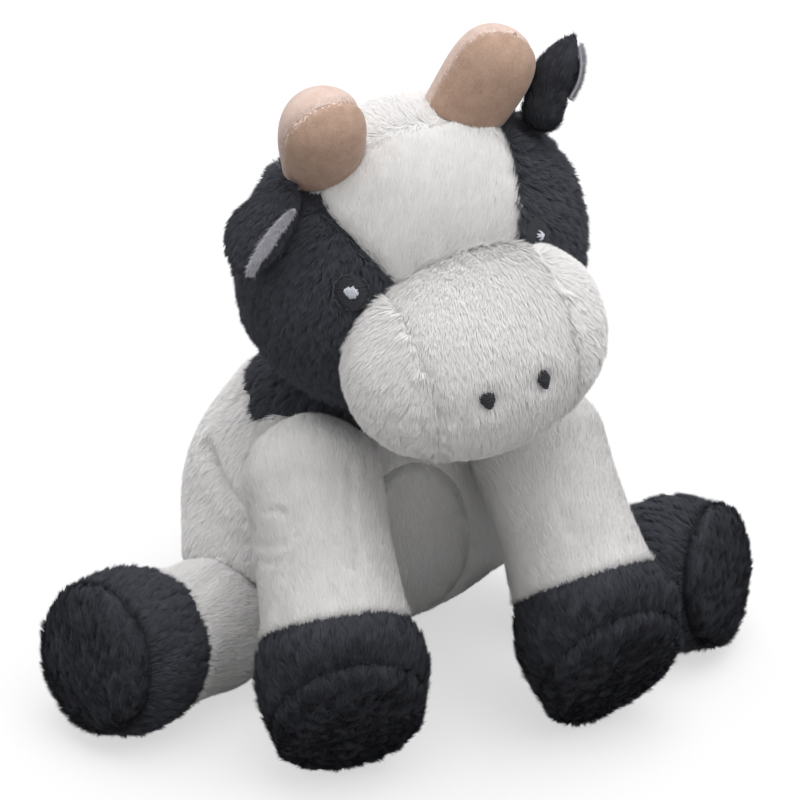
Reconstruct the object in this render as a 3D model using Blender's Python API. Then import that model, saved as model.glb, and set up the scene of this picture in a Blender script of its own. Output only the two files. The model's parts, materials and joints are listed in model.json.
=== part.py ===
"""Plush cow that sits with its legs spread and its head tilted.

It is sewn from pile fabric panels over loose fibre, with a pouch of beans in the seat. The head
turns and nods on the round top of the body, and each leg, each ear and the tail hangs on a round
root that sits in a dish of the cloth. The cow faces -Y, its own left is +X, and it sits on Z = 0.
"""

import bmesh
import bpy
from math import asin, atan2, cos, hypot, pi, radians, sin, tan
from mathutils import Matrix, Vector

# Cloth and clearances
GAP = 0.0003             # between pieces that touch
CLOTH = 0.0030           # backing and pressed pile together
PRESSED = 0.0005         # how deep a form is pressed flat where the toy sits on it
OVERRUN = 0.020          # how far a cutting region runs past what it cuts

# Body: a pear that leans forward from the seat to the neck
BODY_RADII = (0.0640, 0.052, 0.066)
BODY_TAPER_SHARE = 0.26
BODY_BACK = 0.011        # its middle lies this far behind the origin
BODY_LEAN = radians(29)
BELLY_HALF_WIDTH = 0.024
BELLY_HALF_HEIGHT = 0.044
SADDLE_RADIUS = 0.054    # black patch over the shoulders
SADDLE_BACK = 0.026      # its centre, measured from the body's top
SADDLE_DROP = 0.008
BEAN_POUCH_RADII = (0.044, 0.040, 0.026)
BEAN_POUCH_BACK = 0.006  # its centre lies behind the middle of the body
BEAN_POUCH_RISE = 0.010

# Neck: the body's top is a dome, with a band of plush and the head's dish over it
NECK_RADIUS = 0.044
NECK_BAND = 0.004
NECK_BAND_RADIUS = 0.030

# Head, in its own frame: X to its left, Y to its back, Z to its crown
HEAD_RADII = (0.060, 0.0465, 0.053)
HEAD_FORWARD = 0.0412    # from the neck's turning point to the middle of the head
HEAD_RISE = 0.0770
HEAD_ASIDE = -0.002
HEAD_TURN = radians(2.3)
HEAD_TILT = radians(11.6)
BLAZE_SHARES = ((-0.45, 0.13), (0.25, 0.42), (0.74, 0.60), (1.3, 0.80))
CROWN_SEAM_SHARE = -0.36
MUZZLE_RADII = (0.0452, 0.0325, 0.0354)
MUZZLE_FORWARD = 0.0428
MUZZLE_DROP = 0.0179
MUZZLE_SEAM_SHARE = 0.56

# Face
EYE_SHARES = {"right": (-0.56, -0.79, 0.235), "left": (0.485, -0.848, 0.195)}
EYE_RADIUS = 0.0060
EYE_THICKNESS = 0.0012
GLINT_RADIUS = 0.0023
GLINT_THICKNESS = 0.0008
NOSTRIL_SHARES = (0.215, -0.97, -0.045)
NOSTRIL_RADIUS = 0.0023
NOSTRIL_THICKNESS = 0.0010
THREAD_SIDES = 12

# Horns
HORN_RADIUS = 0.0140
HORN_HEIGHT = 0.0283     # from where its middle meets the head
HORN_CLOTH = 0.0015
HORN_OUTLINE_SHARES = ((-0.35, 0.90), (0.0, 0.96), (0.35, 1.0), (0.62, 0.97), (0.82, 0.80), (0.95, 0.45))
HORN_FLATNESS_SHARE = 0.94
HORN_SHARES = {"right": (-0.42, -0.19, 0.886), "left": (0.44, -0.16, 0.883)}
HORN_OUT = {"right": radians(5), "left": radians(37)}
HORN_FORWARD = {"right": radians(36), "left": radians(17)}

# Ears
EAR_ROOT = 0.0062
EAR_LENGTH = 0.0275      # from the root's middle to the tip
EAR_STANDOFF = {"right": 0.0045, "left": 0.0059}   # from the head's surface to the root's middle
EAR_FLATNESS_SHARE = 0.48
EAR_SHARES = {"right": (-0.655, -0.31, 0.69), "left": (0.718, -0.27, 0.64)}
EAR_OUTLINE_SHARES = ((0.25, 1.30), (0.52, 1.55), (0.76, 1.25), (0.93, 0.66))
EAR_TWIST = {"right": radians(38), "left": radians(-95)}
EAR_ANGLE = {"right": radians(131), "left": radians(35)}
LINING_HALF_LENGTH = 0.0135
LINING_HALF_WIDTH = 0.0036
LINING_THICKNESS = 0.0012
LINING_ASIDE = 0.0056    # its middle lies this far to one rim of the ear

# Legs, which widen to a soft hoof with a crowned sole
LEG_RADIUS = {"front": 0.0240, "hind": 0.0235}
HOOF_LENGTH = {"front": 0.028, "hind": 0.028}
SOLE_CROWN = 0.005
TUBE_SHARES = ((0.0, 1.0), (0.5, 0.97), (1.0, 1.05))
HOOF_SHARES = ((0.0, 1.05), (0.25, 1.18), (0.62, 1.25), (1.0, 1.12))
SOLE_SHARES = ((0.98, 0.30), (0.70, 0.75), (0.36, 0.95))
ROOT_SINK = 0.0018       # how deep a leg's root sits in the body's cloth
SHOULDER_SHARES = (0.56, -0.64, 0.58)
FRONT_PITCH = radians(51.5)
FRONT_SPLAY = {"right": radians(5), "left": radians(9)}
HIP_SHARES = (0.80, -0.60, -0.34)
HIND_LENGTH = {"right": 0.0225, "left": 0.0265}   # from the root's middle to the hoof's seam
HIND_SPLAY = {"right": radians(64), "left": radians(44)}
FRONT_SOLE_TILT = radians(22)   # the front soles face further forward than the leg points

# Tail
TAIL_RADIUS = 0.0060
TAIL_LENGTH = 0.040      # from the root's middle to the tuft
TAIL_SHARES = (0.0, 0.93, -0.37)
TAIL_PITCH = radians(48)
TUFT_RADII = (0.0095, 0.0095, 0.015)

# Facets
LARGE = {"rings": 12, "sides": 20}
SMALL = {"rings": 8, "sides": 16}
ROOT_STEPS = 3
DISH = {"rings": 12, "sides": 24}

# The pieces' colours, in linear light, with roughness
FINISHES = {
    "white_plush": ((0.80, 0.78, 0.75, 1), 0.95),
    "black_plush": ((0.022, 0.024, 0.032, 1), 0.95),
    "horn_suede": ((0.62, 0.45, 0.36, 1), 0.90),
    "ear_lining": ((0.50, 0.50, 0.55, 1), 0.85),
    "black_thread": ((0.010, 0.010, 0.012, 1), 0.55),
    "white_thread": ((0.85, 0.85, 0.85, 1), 0.60),
    "fibre_filling": ((0.88, 0.88, 0.86, 1), 1.0),
    "pouch_cloth": ((0.66, 0.64, 0.58, 1), 0.90),
}


def clear_scene():
    for old in list(bpy.data.objects):
        bpy.data.objects.remove(old)


def make_finishes():
    finishes = {}
    for name, (colour, roughness) in FINISHES.items():
        material = bpy.data.materials.new(name)
        material.use_nodes = True
        shader = material.node_tree.nodes["Principled BSDF"]
        shader.inputs["Base Color"].default_value = colour
        shader.inputs["Roughness"].default_value = roughness
        shader.inputs["Metallic"].default_value = 0
        material.diffuse_color = colour
        finishes[name] = material
    return finishes


def to_mesh(name, shape):
    bmesh.ops.recalc_face_normals(shape, faces=shape.faces)
    mesh = bpy.data.meshes.new(name)
    shape.to_mesh(mesh)
    shape.free()
    mesh.shade_smooth()
    return mesh


def sack(name, radii, facets=LARGE, taper_share=0.0):
    """A stuffed form: a ball drawn out to three radii, which narrows towards its top."""
    shape = bmesh.new()
    bmesh.ops.create_uvsphere(shape, u_segments=facets["sides"], v_segments=facets["rings"], radius=1)
    for vertex in shape.verts:
        narrowing = 1 - taper_share * vertex.co.z
        vertex.co.x *= radii[0] * narrowing
        vertex.co.y *= radii[1] * narrowing
        vertex.co.z *= radii[2]
    return to_mesh(name, shape)


def turned(name, profile, sides, closed=False, flatness_share=1.0):
    """A form turned about Z from points (radius, height), squeezed in Y by the flatness."""
    shape = bmesh.new()
    points = [shape.verts.new((radius, 0, height)) for radius, height in profile]
    edges = [shape.edges.new(pair) for pair in zip(points, points[1:])]
    if closed:
        edges.append(shape.edges.new((points[-1], points[0])))
    bmesh.ops.spin(shape, geom=points + edges, cent=(0, 0, 0), axis=(0, 0, 1), angle=2 * pi,
                   steps=sides, use_merge=True)
    bmesh.ops.remove_doubles(shape, verts=shape.verts, dist=GAP / 10)
    for vertex in shape.verts:
        vertex.co.y *= flatness_share
    return to_mesh(name, shape)


def prism(name, outline, half_depth):
    """A straight-sided form: points (x, z) drawn out along Y to both sides."""
    shape = bmesh.new()
    front = shape.faces.new([shape.verts.new((x, -half_depth, z)) for x, z in outline])
    drawn = bmesh.ops.extrude_face_region(shape, geom=[front])["geom"]
    moved = [part for part in drawn if isinstance(part, bmesh.types.BMVert)]
    bmesh.ops.translate(shape, verts=moved, vec=(0, 2 * half_depth, 0))
    return to_mesh(name, shape)


def block(name, low, high):
    """A box between two corners."""
    outline = [(low[0], low[2]), (high[0], low[2]), (high[0], high[2]), (low[0], high[2])]
    mesh = prism(name, outline, (high[1] - low[1]) / 2)
    mesh.transform(Matrix.Translation((0, (low[1] + high[1]) / 2, 0)))
    return mesh


def frame_empty(name, place, parent=None):
    """An empty whose matrix is given in its parent's frame."""
    empty = bpy.data.objects.new(name, None)
    empty.empty_display_size = CLOTH
    bpy.context.collection.objects.link(empty)
    empty.parent = parent
    empty.matrix_local = place
    return empty


def piece(name, mesh, finish, parent, place=None):
    made = bpy.data.objects.new(name, mesh)
    bpy.context.collection.objects.link(made)
    mesh.materials.clear()
    mesh.materials.append(finishes[finish])
    made.parent = parent
    made.matrix_local = place or Matrix.Identity(4)
    return made


def region(name, mesh, parent=None, place=None):
    """A cutter: it shapes other pieces and is no piece itself."""
    made = bpy.data.objects.new(name + "_region", mesh)
    bpy.context.collection.objects.link(made)
    made.parent = parent
    made.matrix_local = place or Matrix.Identity(4)
    made.hide_render = True
    made.display_type = "WIRE"
    return made


def cut(target, *tools, operation="DIFFERENCE"):
    for tool in tools:
        modifier = target.modifiers.new(tool.name, "BOOLEAN")
        modifier.object = tool
        modifier.operation = operation
        modifier.solver = "EXACT"


def keep(target, *tools):
    cut(target, *tools, operation="INTERSECT")


def smaller(radii, inset):
    return tuple(radius - inset for radius in radii)


def on_sack(radii, shares, taper_share=0.0):
    """The point and the outward direction of a sack's surface, seen along the shares."""
    unit = Vector(shares).normalized()
    narrowing = 1 - taper_share * unit.z
    point = Vector((unit.x * radii[0] * narrowing, unit.y * radii[1] * narrowing, unit.z * radii[2]))
    slope = taper_share * (unit.x ** 2 + unit.y ** 2) / narrowing
    normal = Vector((unit.x / (radii[0] * narrowing), unit.y / (radii[1] * narrowing),
                     (unit.z + slope) / radii[2]))
    return point, normal.normalized()


def dish(name, radius, parent=None, place=None):
    """A ball that clears a round root: its flat facets stay outside the root plus the gap."""
    outside = cos(pi / DISH["sides"]) * cos(pi / DISH["rings"] / 2)
    return region(name, sack(name, ((radius + GAP) / outside,) * 3, DISH), parent, place)


def facing(direction, up=(0, 0, 1)):
    """A turn that sets Z along the direction, with X level."""
    z_axis = Vector(direction).normalized()
    x_axis = Vector(up).cross(z_axis).normalized()
    y_axis = z_axis.cross(x_axis)
    return Matrix((x_axis, y_axis, z_axis)).transposed().to_4x4()


def split_halves(name, radii):
    """Two regions that part a form along its middle, with a seam's gap between them."""
    reach = [radius + OVERRUN for radius in radii]
    left = block(name + "_left", (GAP / 2, -reach[1], -reach[2]), (reach[0], reach[1], reach[2]))
    right = block(name + "_right", (-reach[0], -reach[1], -reach[2]), (-GAP / 2, reach[1], reach[2]))
    return {"left": left, "right": right}


def build_body():
    """Four fabric panels, the filling and the pouch of beans."""
    body = frame_empty("body_frame", body_place())
    inner = region("body_lining", sack("body_lining", smaller(BODY_RADII, CLOTH),
                                       taper_share=BODY_TAPER_SHARE), body)
    saddle_at = Matrix.Translation((0, SADDLE_BACK, BODY_RADII[2] - SADDLE_DROP))
    saddle = region("saddle", sack("saddle", (SADDLE_RADIUS,) * 3), body, saddle_at)
    saddle_hole = region("saddle_hole", sack("saddle_hole", (SADDLE_RADIUS + GAP,) * 3), body, saddle_at)
    belly_at = Matrix.Translation((0, -BODY_RADII[1], 0))
    belly_radii = (BELLY_HALF_WIDTH, BODY_RADII[1], BELLY_HALF_HEIGHT)
    belly = region("belly", sack("belly", belly_radii), body, belly_at)
    belly_hole = region("belly_hole", sack("belly_hole", smaller(belly_radii, -GAP)), body, belly_at)
    halves = split_halves("body_half", BODY_RADII)

    panels = {}
    for name, finish in (("body_panel_right", "white_plush"), ("body_panel_left", "white_plush"),
                         ("belly_panel", "white_plush"), ("saddle_patch", "black_plush")):
        mesh = sack(name, BODY_RADII, taper_share=BODY_TAPER_SHARE)
        panels[name] = piece(name, mesh, finish, body)
        cut(panels[name], inner)
    for side in ("right", "left"):
        keep(panels["body_panel_" + side], region("body_half_" + side, halves[side], body))
        cut(panels["body_panel_" + side], saddle_hole, belly_hole)
    keep(panels["belly_panel"], belly)
    keep(panels["saddle_patch"], saddle)
    cut(panels["saddle_patch"], belly_hole)

    filling_radii = smaller(BODY_RADII, CLOTH + GAP)
    pouch_at = Matrix.Translation((0, BODY_BACK + BEAN_POUCH_BACK, BEAN_POUCH_RISE))
    pouch = region("bean_pouch", sack("bean_pouch", BEAN_POUCH_RADII, SMALL), None, pouch_at)
    pouch_hole = region("bean_pouch_hole", sack("bean_pouch_hole", smaller(BEAN_POUCH_RADII, -GAP), SMALL),
                        None, pouch_at)
    filling = piece("body_filling", sack("body_filling", filling_radii, taper_share=BODY_TAPER_SHARE),
                    "fibre_filling", body)
    cut(filling, pouch_hole)
    beans = piece("bean_pouch", sack("bean_pouch", filling_radii, taper_share=BODY_TAPER_SHARE),
                  "pouch_cloth", body)
    keep(beans, pouch)
    return panels


def body_place():
    """The body's frame: it leans forward, and its lowest point is pressed into the ground."""
    lowest = 0
    steps = LARGE["rings"]
    for step in range(steps + 1):
        angle = pi * step / steps
        height = -cos(angle)
        width = sin(angle) * (1 - BODY_TAPER_SHARE * height) * BODY_RADII[1]
        reach = -height * BODY_RADII[2] * cos(BODY_LEAN) + width * sin(BODY_LEAN)
        lowest = max(lowest, reach)
    return Matrix.Translation((0, BODY_BACK, lowest - PRESSED)) @ Matrix.Rotation(BODY_LEAN, 4, "X")


def build_neck():
    """The turning point under the body's round top, and the band of plush between body and head."""
    along = facing(body_place().to_3x3() @ Vector((0, 0, 1)))
    turning_point = body_place() @ Vector((0, 0, BODY_RADII[2] - NECK_RADIUS))
    neck = frame_empty("neck_joint", Matrix.Translation(turning_point))
    outer = NECK_RADIUS + GAP + NECK_BAND
    band = piece("neck_band", sack("neck_band", (outer,) * 3, DISH), "black_plush", neck, along)
    column = [(0, 0), (NECK_BAND_RADIUS, 0), (NECK_BAND_RADIUS, outer + OVERRUN), (0, outer + OVERRUN)]
    keep(band, region("neck_column", turned("neck_column", column, DISH["sides"]), neck, along))
    cut(band, dish("neck_inside", NECK_RADIUS, neck))
    return neck, dish("neck_dish", outer, neck)


def build_head(neck, neck_dish):
    turn = Matrix.Rotation(HEAD_TURN, 4, "Z") @ Matrix.Rotation(-HEAD_TILT, 4, "Y")
    place = Matrix.Translation((HEAD_ASIDE, -HEAD_FORWARD, HEAD_RISE)) @ turn
    head = frame_empty("head_frame", place, neck)
    muzzle_at = Matrix.Translation((0, -MUZZLE_FORWARD, -MUZZLE_DROP))
    inner = region("head_lining", sack("head_lining", smaller(HEAD_RADII, CLOTH)), head)
    skull_hole = region("head_outside", sack("head_outside", smaller(HEAD_RADII, -GAP)), head)
    muzzle_lining = sack("muzzle_lining", smaller(MUZZLE_RADII, CLOTH))
    muzzle_inner = region("muzzle_lining", muzzle_lining, head, muzzle_at)
    muzzle_outside = sack("muzzle_outside", smaller(MUZZLE_RADII, -GAP))
    muzzle_hole = region("muzzle_outside", muzzle_outside, head, muzzle_at)

    depth = HEAD_RADII[1] + OVERRUN
    blaze = region("blaze", prism("blaze", blaze_outline(0), depth), head)
    blaze_hole = region("blaze_hole", prism("blaze_hole", blaze_outline(GAP), depth), head)
    seam = HEAD_RADII[1] * CROWN_SEAM_SHARE
    far = [radius + OVERRUN for radius in HEAD_RADII]
    forehead_side = region("forehead", block("forehead", (-far[0], -far[1], -far[2]),
                                             (far[0], seam, far[2])), head)
    crown_side = region("crown", block("crown", (-far[0], seam + GAP, -far[2]), far), head)
    halves = split_halves("head_half", HEAD_RADII)

    panels = {}
    for name, finish in (("forehead_panel", "white_plush"), ("crown_panel", "white_plush"),
                         ("cheek_right", "black_plush"), ("cheek_left", "black_plush")):
        panels[name] = piece(name, sack(name, HEAD_RADII), finish, head)
        cut(panels[name], inner)
    keep(panels["forehead_panel"], blaze, forehead_side)
    keep(panels["crown_panel"], blaze, crown_side)
    for side in ("right", "left"):
        keep(panels["cheek_" + side], region("head_half_" + side, halves[side], head))
        cut(panels["cheek_" + side], blaze_hole)
    for panel in panels.values():
        cut(panel, muzzle_hole, neck_dish)

    seam_x = MUZZLE_RADII[0] * MUZZLE_SEAM_SHARE
    far = [radius + OVERRUN for radius in MUZZLE_RADII]
    slices = {
        "muzzle_gusset": (-seam_x, seam_x),
        "muzzle_side_right": (-far[0], -seam_x - GAP),
        "muzzle_side_left": (seam_x + GAP, far[0]),
    }
    for name, (low, high) in slices.items():
        panel = piece(name, sack(name, MUZZLE_RADII), "white_plush", head, muzzle_at)
        cut(panel, muzzle_inner)
        share = block(name, (low, -far[1], -far[2]), (high, far[1], far[2]))
        keep(panel, region(name, share, head, muzzle_at))
        cut(panel, skull_hole, neck_dish)

    filling_mesh = sack("head_filling", smaller(HEAD_RADII, CLOTH + GAP))
    filling = piece("head_filling", filling_mesh, "fibre_filling", head)
    muzzle_mesh = sack("muzzle_filling", smaller(MUZZLE_RADII, CLOTH + GAP))
    muzzle_filling = region("muzzle_filling", muzzle_mesh, head, muzzle_at)
    cut(filling, muzzle_filling, operation="UNION")
    cut(filling, neck_dish)
    build_face(head, muzzle_at, skull_hole, muzzle_hole)
    return head, skull_hole


def blaze_outline(grown):
    """The white stripe between the cheeks, from the nape and the muzzle to past the crown."""
    right = [(-width * HEAD_RADII[0] - grown, height * HEAD_RADII[2]) for height, width in BLAZE_SHARES]
    left = [(-x, z) for x, z in reversed(right)]
    return right + left


def button(radius, low, high):
    return [(0, low), (radius, low), (radius, high), (0, high)]


def build_face(head, muzzle_at, skull_hole, muzzle_hole):
    """Embroidered eyes with a glint, and embroidered nostrils."""
    for side, sign in (("right", -1), ("left", 1)):
        point, normal = on_sack(HEAD_RADII, EYE_SHARES[side])
        at = Matrix.Translation(point) @ facing(normal)
        disc = turned("eye", button(EYE_RADIUS, -CLOTH, EYE_THICKNESS), 2 * THREAD_SIDES)
        eye = piece("eye_" + side, disc, "black_thread", head, at)
        cut(eye, skull_hole, muzzle_hole)
        low = EYE_THICKNESS + GAP
        disc = turned("eye_glint", button(GLINT_RADIUS, low, low + GLINT_THICKNESS), THREAD_SIDES)
        glint = piece("eye_glint_" + side, disc, "white_thread", head, at)
        cut(glint, muzzle_hole)
        point, normal = on_sack(MUZZLE_RADII, (sign * NOSTRIL_SHARES[0],) + NOSTRIL_SHARES[1:])
        at = muzzle_at @ Matrix.Translation(point) @ facing(normal)
        disc = turned("nostril", button(NOSTRIL_RADIUS, -CLOTH, NOSTRIL_THICKNESS), THREAD_SIDES)
        nostril = piece("nostril_" + side, disc, "black_thread", head, at)
        cut(nostril, muzzle_hole)


def horn_profile(inset):
    """Points (radius, height) of a blunt horn, drawn in by the inset; its foot is cut by the head."""
    tip = HORN_HEIGHT - inset
    side = [(HORN_RADIUS * width - inset, tip * height) for height, width in HORN_OUTLINE_SHARES]
    return [(0, side[0][1])] + side + [(0, tip)]


def build_horns(head, skull_hole):
    """Each horn is a front and a back panel of suede over fibre, sewn down on the head."""
    sides = SMALL["sides"]
    for side, sign in (("right", -1), ("left", 1)):
        base, normal = on_sack(HEAD_RADII, HORN_SHARES[side])
        turn = Matrix.Rotation(sign * HORN_OUT[side], 4, "Y") @ Matrix.Rotation(HORN_FORWARD[side], 4, "X")
        at = Matrix.Translation(base) @ turn
        shapes = {}
        for layer, inset in (("outside", 0), ("lining", HORN_CLOTH), ("filling", HORN_CLOTH + GAP)):
            shapes[layer] = (horn_profile(inset), sides, False, HORN_FLATNESS_SHARE)
        inner = region(f"horn_{side}_lining", turned("horn_lining", *shapes["lining"]), head, at)
        far = HORN_HEIGHT + OVERRUN
        spans = {"front": (-far, -GAP / 2), "back": (GAP / 2, far)}
        for face, (low, high) in spans.items():
            name = f"horn_{side}_{face}"
            panel = piece(name, turned(name, *shapes["outside"]), "horn_suede", head, at)
            cut(panel, inner)
            keep(panel, region(name, block(name, (-far, low, -far), (far, high, far)), head, at))
            cut(panel, skull_hole)
        name = f"horn_{side}_filling"
        filling = piece(name, turned(name, *shapes["filling"]), "fibre_filling", head, at)
        cut(filling, skull_hole)


def build_ears(head):
    """Each ear is a flat leaf of black plush with a strip of pale lining along one rim of its inner face."""
    outline = [(EAR_ROOT * sin(angle), -EAR_ROOT * cos(angle)) for angle in quarter_turn()]
    outline += [(EAR_ROOT * width, EAR_LENGTH * height) for height, width in EAR_OUTLINE_SHARES]
    outline.append((0, EAR_LENGTH))
    half_width = EAR_ROOT * max(width for _, width in EAR_OUTLINE_SHARES)
    half_thickness = half_width * EAR_FLATNESS_SHARE
    depth = half_thickness * (1 - (LINING_ASIDE / half_width) ** 2) ** 0.5
    slope = atan2(LINING_ASIDE / half_width ** 2, depth / half_thickness ** 2)
    strip = Matrix.Translation((-LINING_ASIDE, -depth, EAR_LENGTH / 2)) @ Matrix.Rotation(-slope, 4, "Z")
    radii = (LINING_HALF_WIDTH, half_width - LINING_HALF_WIDTH, LINING_HALF_LENGTH)
    for side, sign in (("right", -1), ("left", 1)):
        point, normal = on_sack(HEAD_RADII, EAR_SHARES[side])
        root = point + normal * EAR_STANDOFF[side]
        joint = frame_empty(f"ear_{side}_joint", Matrix.Translation(root), head)
        twist = Matrix.Rotation(-sign * EAR_TWIST[side], 4, "Z")
        flop = Matrix.Rotation(sign * EAR_ANGLE[side], 4, "Y") @ twist
        piece(f"ear_{side}", turned("ear", outline, SMALL["sides"], flatness_share=EAR_FLATNESS_SHARE),
              "black_plush", joint, flop)
        lining = piece(f"ear_{side}_lining", grown_ear("ear_lining", outline, GAP + LINING_THICKNESS),
                       "ear_lining", joint, flop)
        keep(lining, region(f"ear_{side}_strip", sack("ear_strip", radii, SMALL), joint, flop @ strip))
        cut(lining, region(f"ear_{side}_outside", grown_ear("ear_outside", outline, GAP), joint, flop))


def grown_ear(name, outline, growth):
    """The ear's leaf, grown all round but at its two ends."""
    grown = [(radius + growth if radius else 0, height) for radius, height in outline]
    return turned(name, grown, SMALL["sides"], flatness_share=EAR_FLATNESS_SHARE + growth / EAR_ROOT / 2)


def quarter_turn():
    return [pi / 2 * step / ROOT_STEPS for step in range(ROOT_STEPS + 1)][:-1] + [pi / 2]


def leg_profiles(radius, tube, hoof, inset):
    """Points (radius, height) of the tube and the hoof, drawn in by the inset."""
    root = [((radius - inset) * sin(angle), -(radius - inset) * cos(angle)) for angle in quarter_turn()]
    sleeve = [(radius * width - inset, tube * height) for height, width in TUBE_SHARES]
    cuff = [(radius * width - inset, tube + hoof * height) for height, width in HOOF_SHARES]
    return root + sleeve[1:], cuff


def tilted(mesh, tube, hoof, tilt):
    """Slants the hoof: its sole turns up by the tilt, and the sleeve's end stays square."""
    for vertex in mesh.vertices:
        past = max(0, min(1, (vertex.co.z - tube) / hoof))
        vertex.co.z -= vertex.co.y * tan(tilt) * past
    return mesh


def lowest_reach(radius, hoof, tilt=0):
    """Points (radius, distance back from the sole seam) of the hoof that may touch the ground."""
    points = []
    for height, width in HOOF_SHARES:
        points.append((radius * width, hoof * (1 - height) - radius * width * tan(tilt) * height))
    rim = radius * HOOF_SHARES[-1][1]
    for width, height in SOLE_SHARES[:1]:
        points.append((rim * width, -GAP - CLOTH - SOLE_CROWN * height - rim * width * tan(tilt)))
    return points


def front_tube_length(height, radius, hoof):
    """Tube length with which the tilted hoof just stands on the ground."""
    reaches = lowest_reach(radius, hoof, FRONT_SOLE_TILT)
    below = max(r * cos(FRONT_PITCH) - back * sin(FRONT_PITCH) for r, back in reaches)
    return (height + PRESSED - below) / sin(FRONT_PITCH) - hoof


def hind_pitch(height, radius, tube, hoof):
    """Downward slope at which a hind leg of known length lies on the ground."""
    slopes = []
    for r, back in lowest_reach(radius, hoof):
        along = tube + hoof - back
        slopes.append(asin((height + PRESSED) / hypot(along, r)) - atan2(r, along))
    return min(slopes)


def build_leg(name, root, direction, radius, tube, hoof, tilt):
    """White sleeve, black hoof cuff, black crowned sole and the filling."""
    joint = frame_empty(name + "_joint", Matrix.Translation(root))
    turn = facing(direction)
    sides = SMALL["sides"]
    outer, cuff_outer = leg_profiles(radius, tube, hoof, 0)
    inner, cuff_inner = leg_profiles(radius, tube, hoof, CLOTH)
    fill, fill_cuff = leg_profiles(radius, tube, hoof, CLOTH + GAP)
    sleeve_mesh = turned("sleeve", outer + inner[::-1], sides)
    sleeve = piece(name + "_sleeve", sleeve_mesh, "white_plush", joint, turn)
    cuff = [(r, z + GAP) for r, z in cuff_outer[:1]] + cuff_outer[1:]
    cuff += cuff_inner[:0:-1] + [(r, z + GAP) for r, z in cuff_inner[:1]]
    cuff_mesh = tilted(turned("hoof", cuff, sides, closed=True), tube, hoof, tilt)
    hoof_cuff = piece(name + "_hoof", cuff_mesh, "black_plush", joint, turn)
    rim, end = cuff_outer[-1]
    start = end + GAP
    sole_profile = [(0, start), (rim, start)]
    sole_profile += [(rim * r, start + CLOTH + SOLE_CROWN * z) for r, z in SOLE_SHARES]
    sole_profile.append((0, start + CLOTH + SOLE_CROWN))
    sole_mesh = tilted(turned("sole", sole_profile, sides), tube, hoof, tilt)
    sole = piece(name + "_sole", sole_mesh, "black_plush", joint, turn)
    fill_profile = fill + fill_cuff[1:] + [(0, fill_cuff[-1][1])]
    fill_mesh = tilted(turned("filling", fill_profile, sides), tube, hoof, tilt)
    piece(name + "_filling", fill_mesh, "fibre_filling", joint, turn)
    return joint, [sleeve, hoof_cuff, sole]


def leg_direction(pitch, splay, sign):
    return Vector((sign * sin(splay) * cos(pitch), -cos(splay) * cos(pitch), -sin(pitch)))


def build_legs(panels, ground):
    for side, sign in (("right", -1), ("left", 1)):
        for end, shares in (("front", SHOULDER_SHARES), ("hind", HIP_SHARES)):
            radius, hoof = LEG_RADIUS[end], HOOF_LENGTH[end]
            point, normal = on_sack(BODY_RADII, (sign * shares[0],) + shares[1:], BODY_TAPER_SHARE)
            root = body_place() @ (point + normal * (radius - ROOT_SINK))
            if end == "front":
                tube, tilt = front_tube_length(root.z, radius, hoof), FRONT_SOLE_TILT
                direction = leg_direction(FRONT_PITCH, FRONT_SPLAY[side], sign)
            else:
                tube, tilt = HIND_LENGTH[side], 0
                pitch = hind_pitch(root.z, radius, tube, hoof)
                direction = leg_direction(pitch, HIND_SPLAY[side], sign)
            name = f"{end}_leg_{side}"
            joint, skins = build_leg(name, root, direction, radius, tube, hoof, tilt)
            for skin in skins[1:]:
                cut(skin, ground)
            if end == "hind":
                cut(skins[0], ground)
            seat = dish(name + "_dish", radius, joint)
            for panel in panels.values():
                cut(panel, seat)


def build_tail(panels):
    """A thin white tail with a black tuft."""
    point, normal = on_sack(BODY_RADII, TAIL_SHARES, BODY_TAPER_SHARE)
    root = body_place() @ (point + normal * (TAIL_RADIUS - ROOT_SINK))
    joint = frame_empty("tail_joint", Matrix.Translation(root))
    turn = facing((0, cos(TAIL_PITCH), -sin(TAIL_PITCH)), up=(1, 0, 0))
    profile = [(TAIL_RADIUS * sin(angle), -TAIL_RADIUS * cos(angle)) for angle in quarter_turn()]
    profile += [(TAIL_RADIUS, TAIL_LENGTH), (0, TAIL_LENGTH)]
    tail = piece("tail", turned("tail", profile, SMALL["sides"]), "white_plush", joint, turn)
    tuft_at = turn @ Matrix.Translation((0, 0, TAIL_LENGTH + TUFT_RADII[2] / 2))
    piece("tail_tuft", sack("tail_tuft", TUFT_RADII, SMALL), "black_plush", joint, tuft_at)
    cut(tail, region("tuft_hole", sack("tuft_hole", smaller(TUFT_RADII, -GAP), SMALL), joint, tuft_at))
    seat = dish("tail_dish", TAIL_RADIUS, joint)
    for panel in panels.values():
        cut(panel, seat)


clear_scene()
finishes = make_finishes()
panels = build_body()
reach = 10 * BODY_RADII[2]
ground = region("ground", block("ground", (-reach, -reach, -OVERRUN), (reach, reach, 0)))
for skin in panels.values():
    cut(skin, ground)
build_legs(panels, ground)
build_tail(panels)
neck, neck_dish = build_neck()
head, skull_hole = build_head(neck, neck_dish)
build_horns(head, skull_hole)
build_ears(head)
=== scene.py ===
"""A sitting plush cow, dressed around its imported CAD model.

White and black pile fabric over loose fibre, with embroidered eyes and nostrils and two suede horns.
Lengths are in metres, in the frame of the CAD: +Z is up, the cow faces -Y and its own left is +X.
"""

import json
from math import ceil, cos, exp, hypot, pi, radians, sin, tan

import bmesh
import bpy
import numpy as np
from mathutils import Matrix, Vector, noise
from mathutils.bvhtree import BVHTree
from mathutils.kdtree import KDTree


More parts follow.
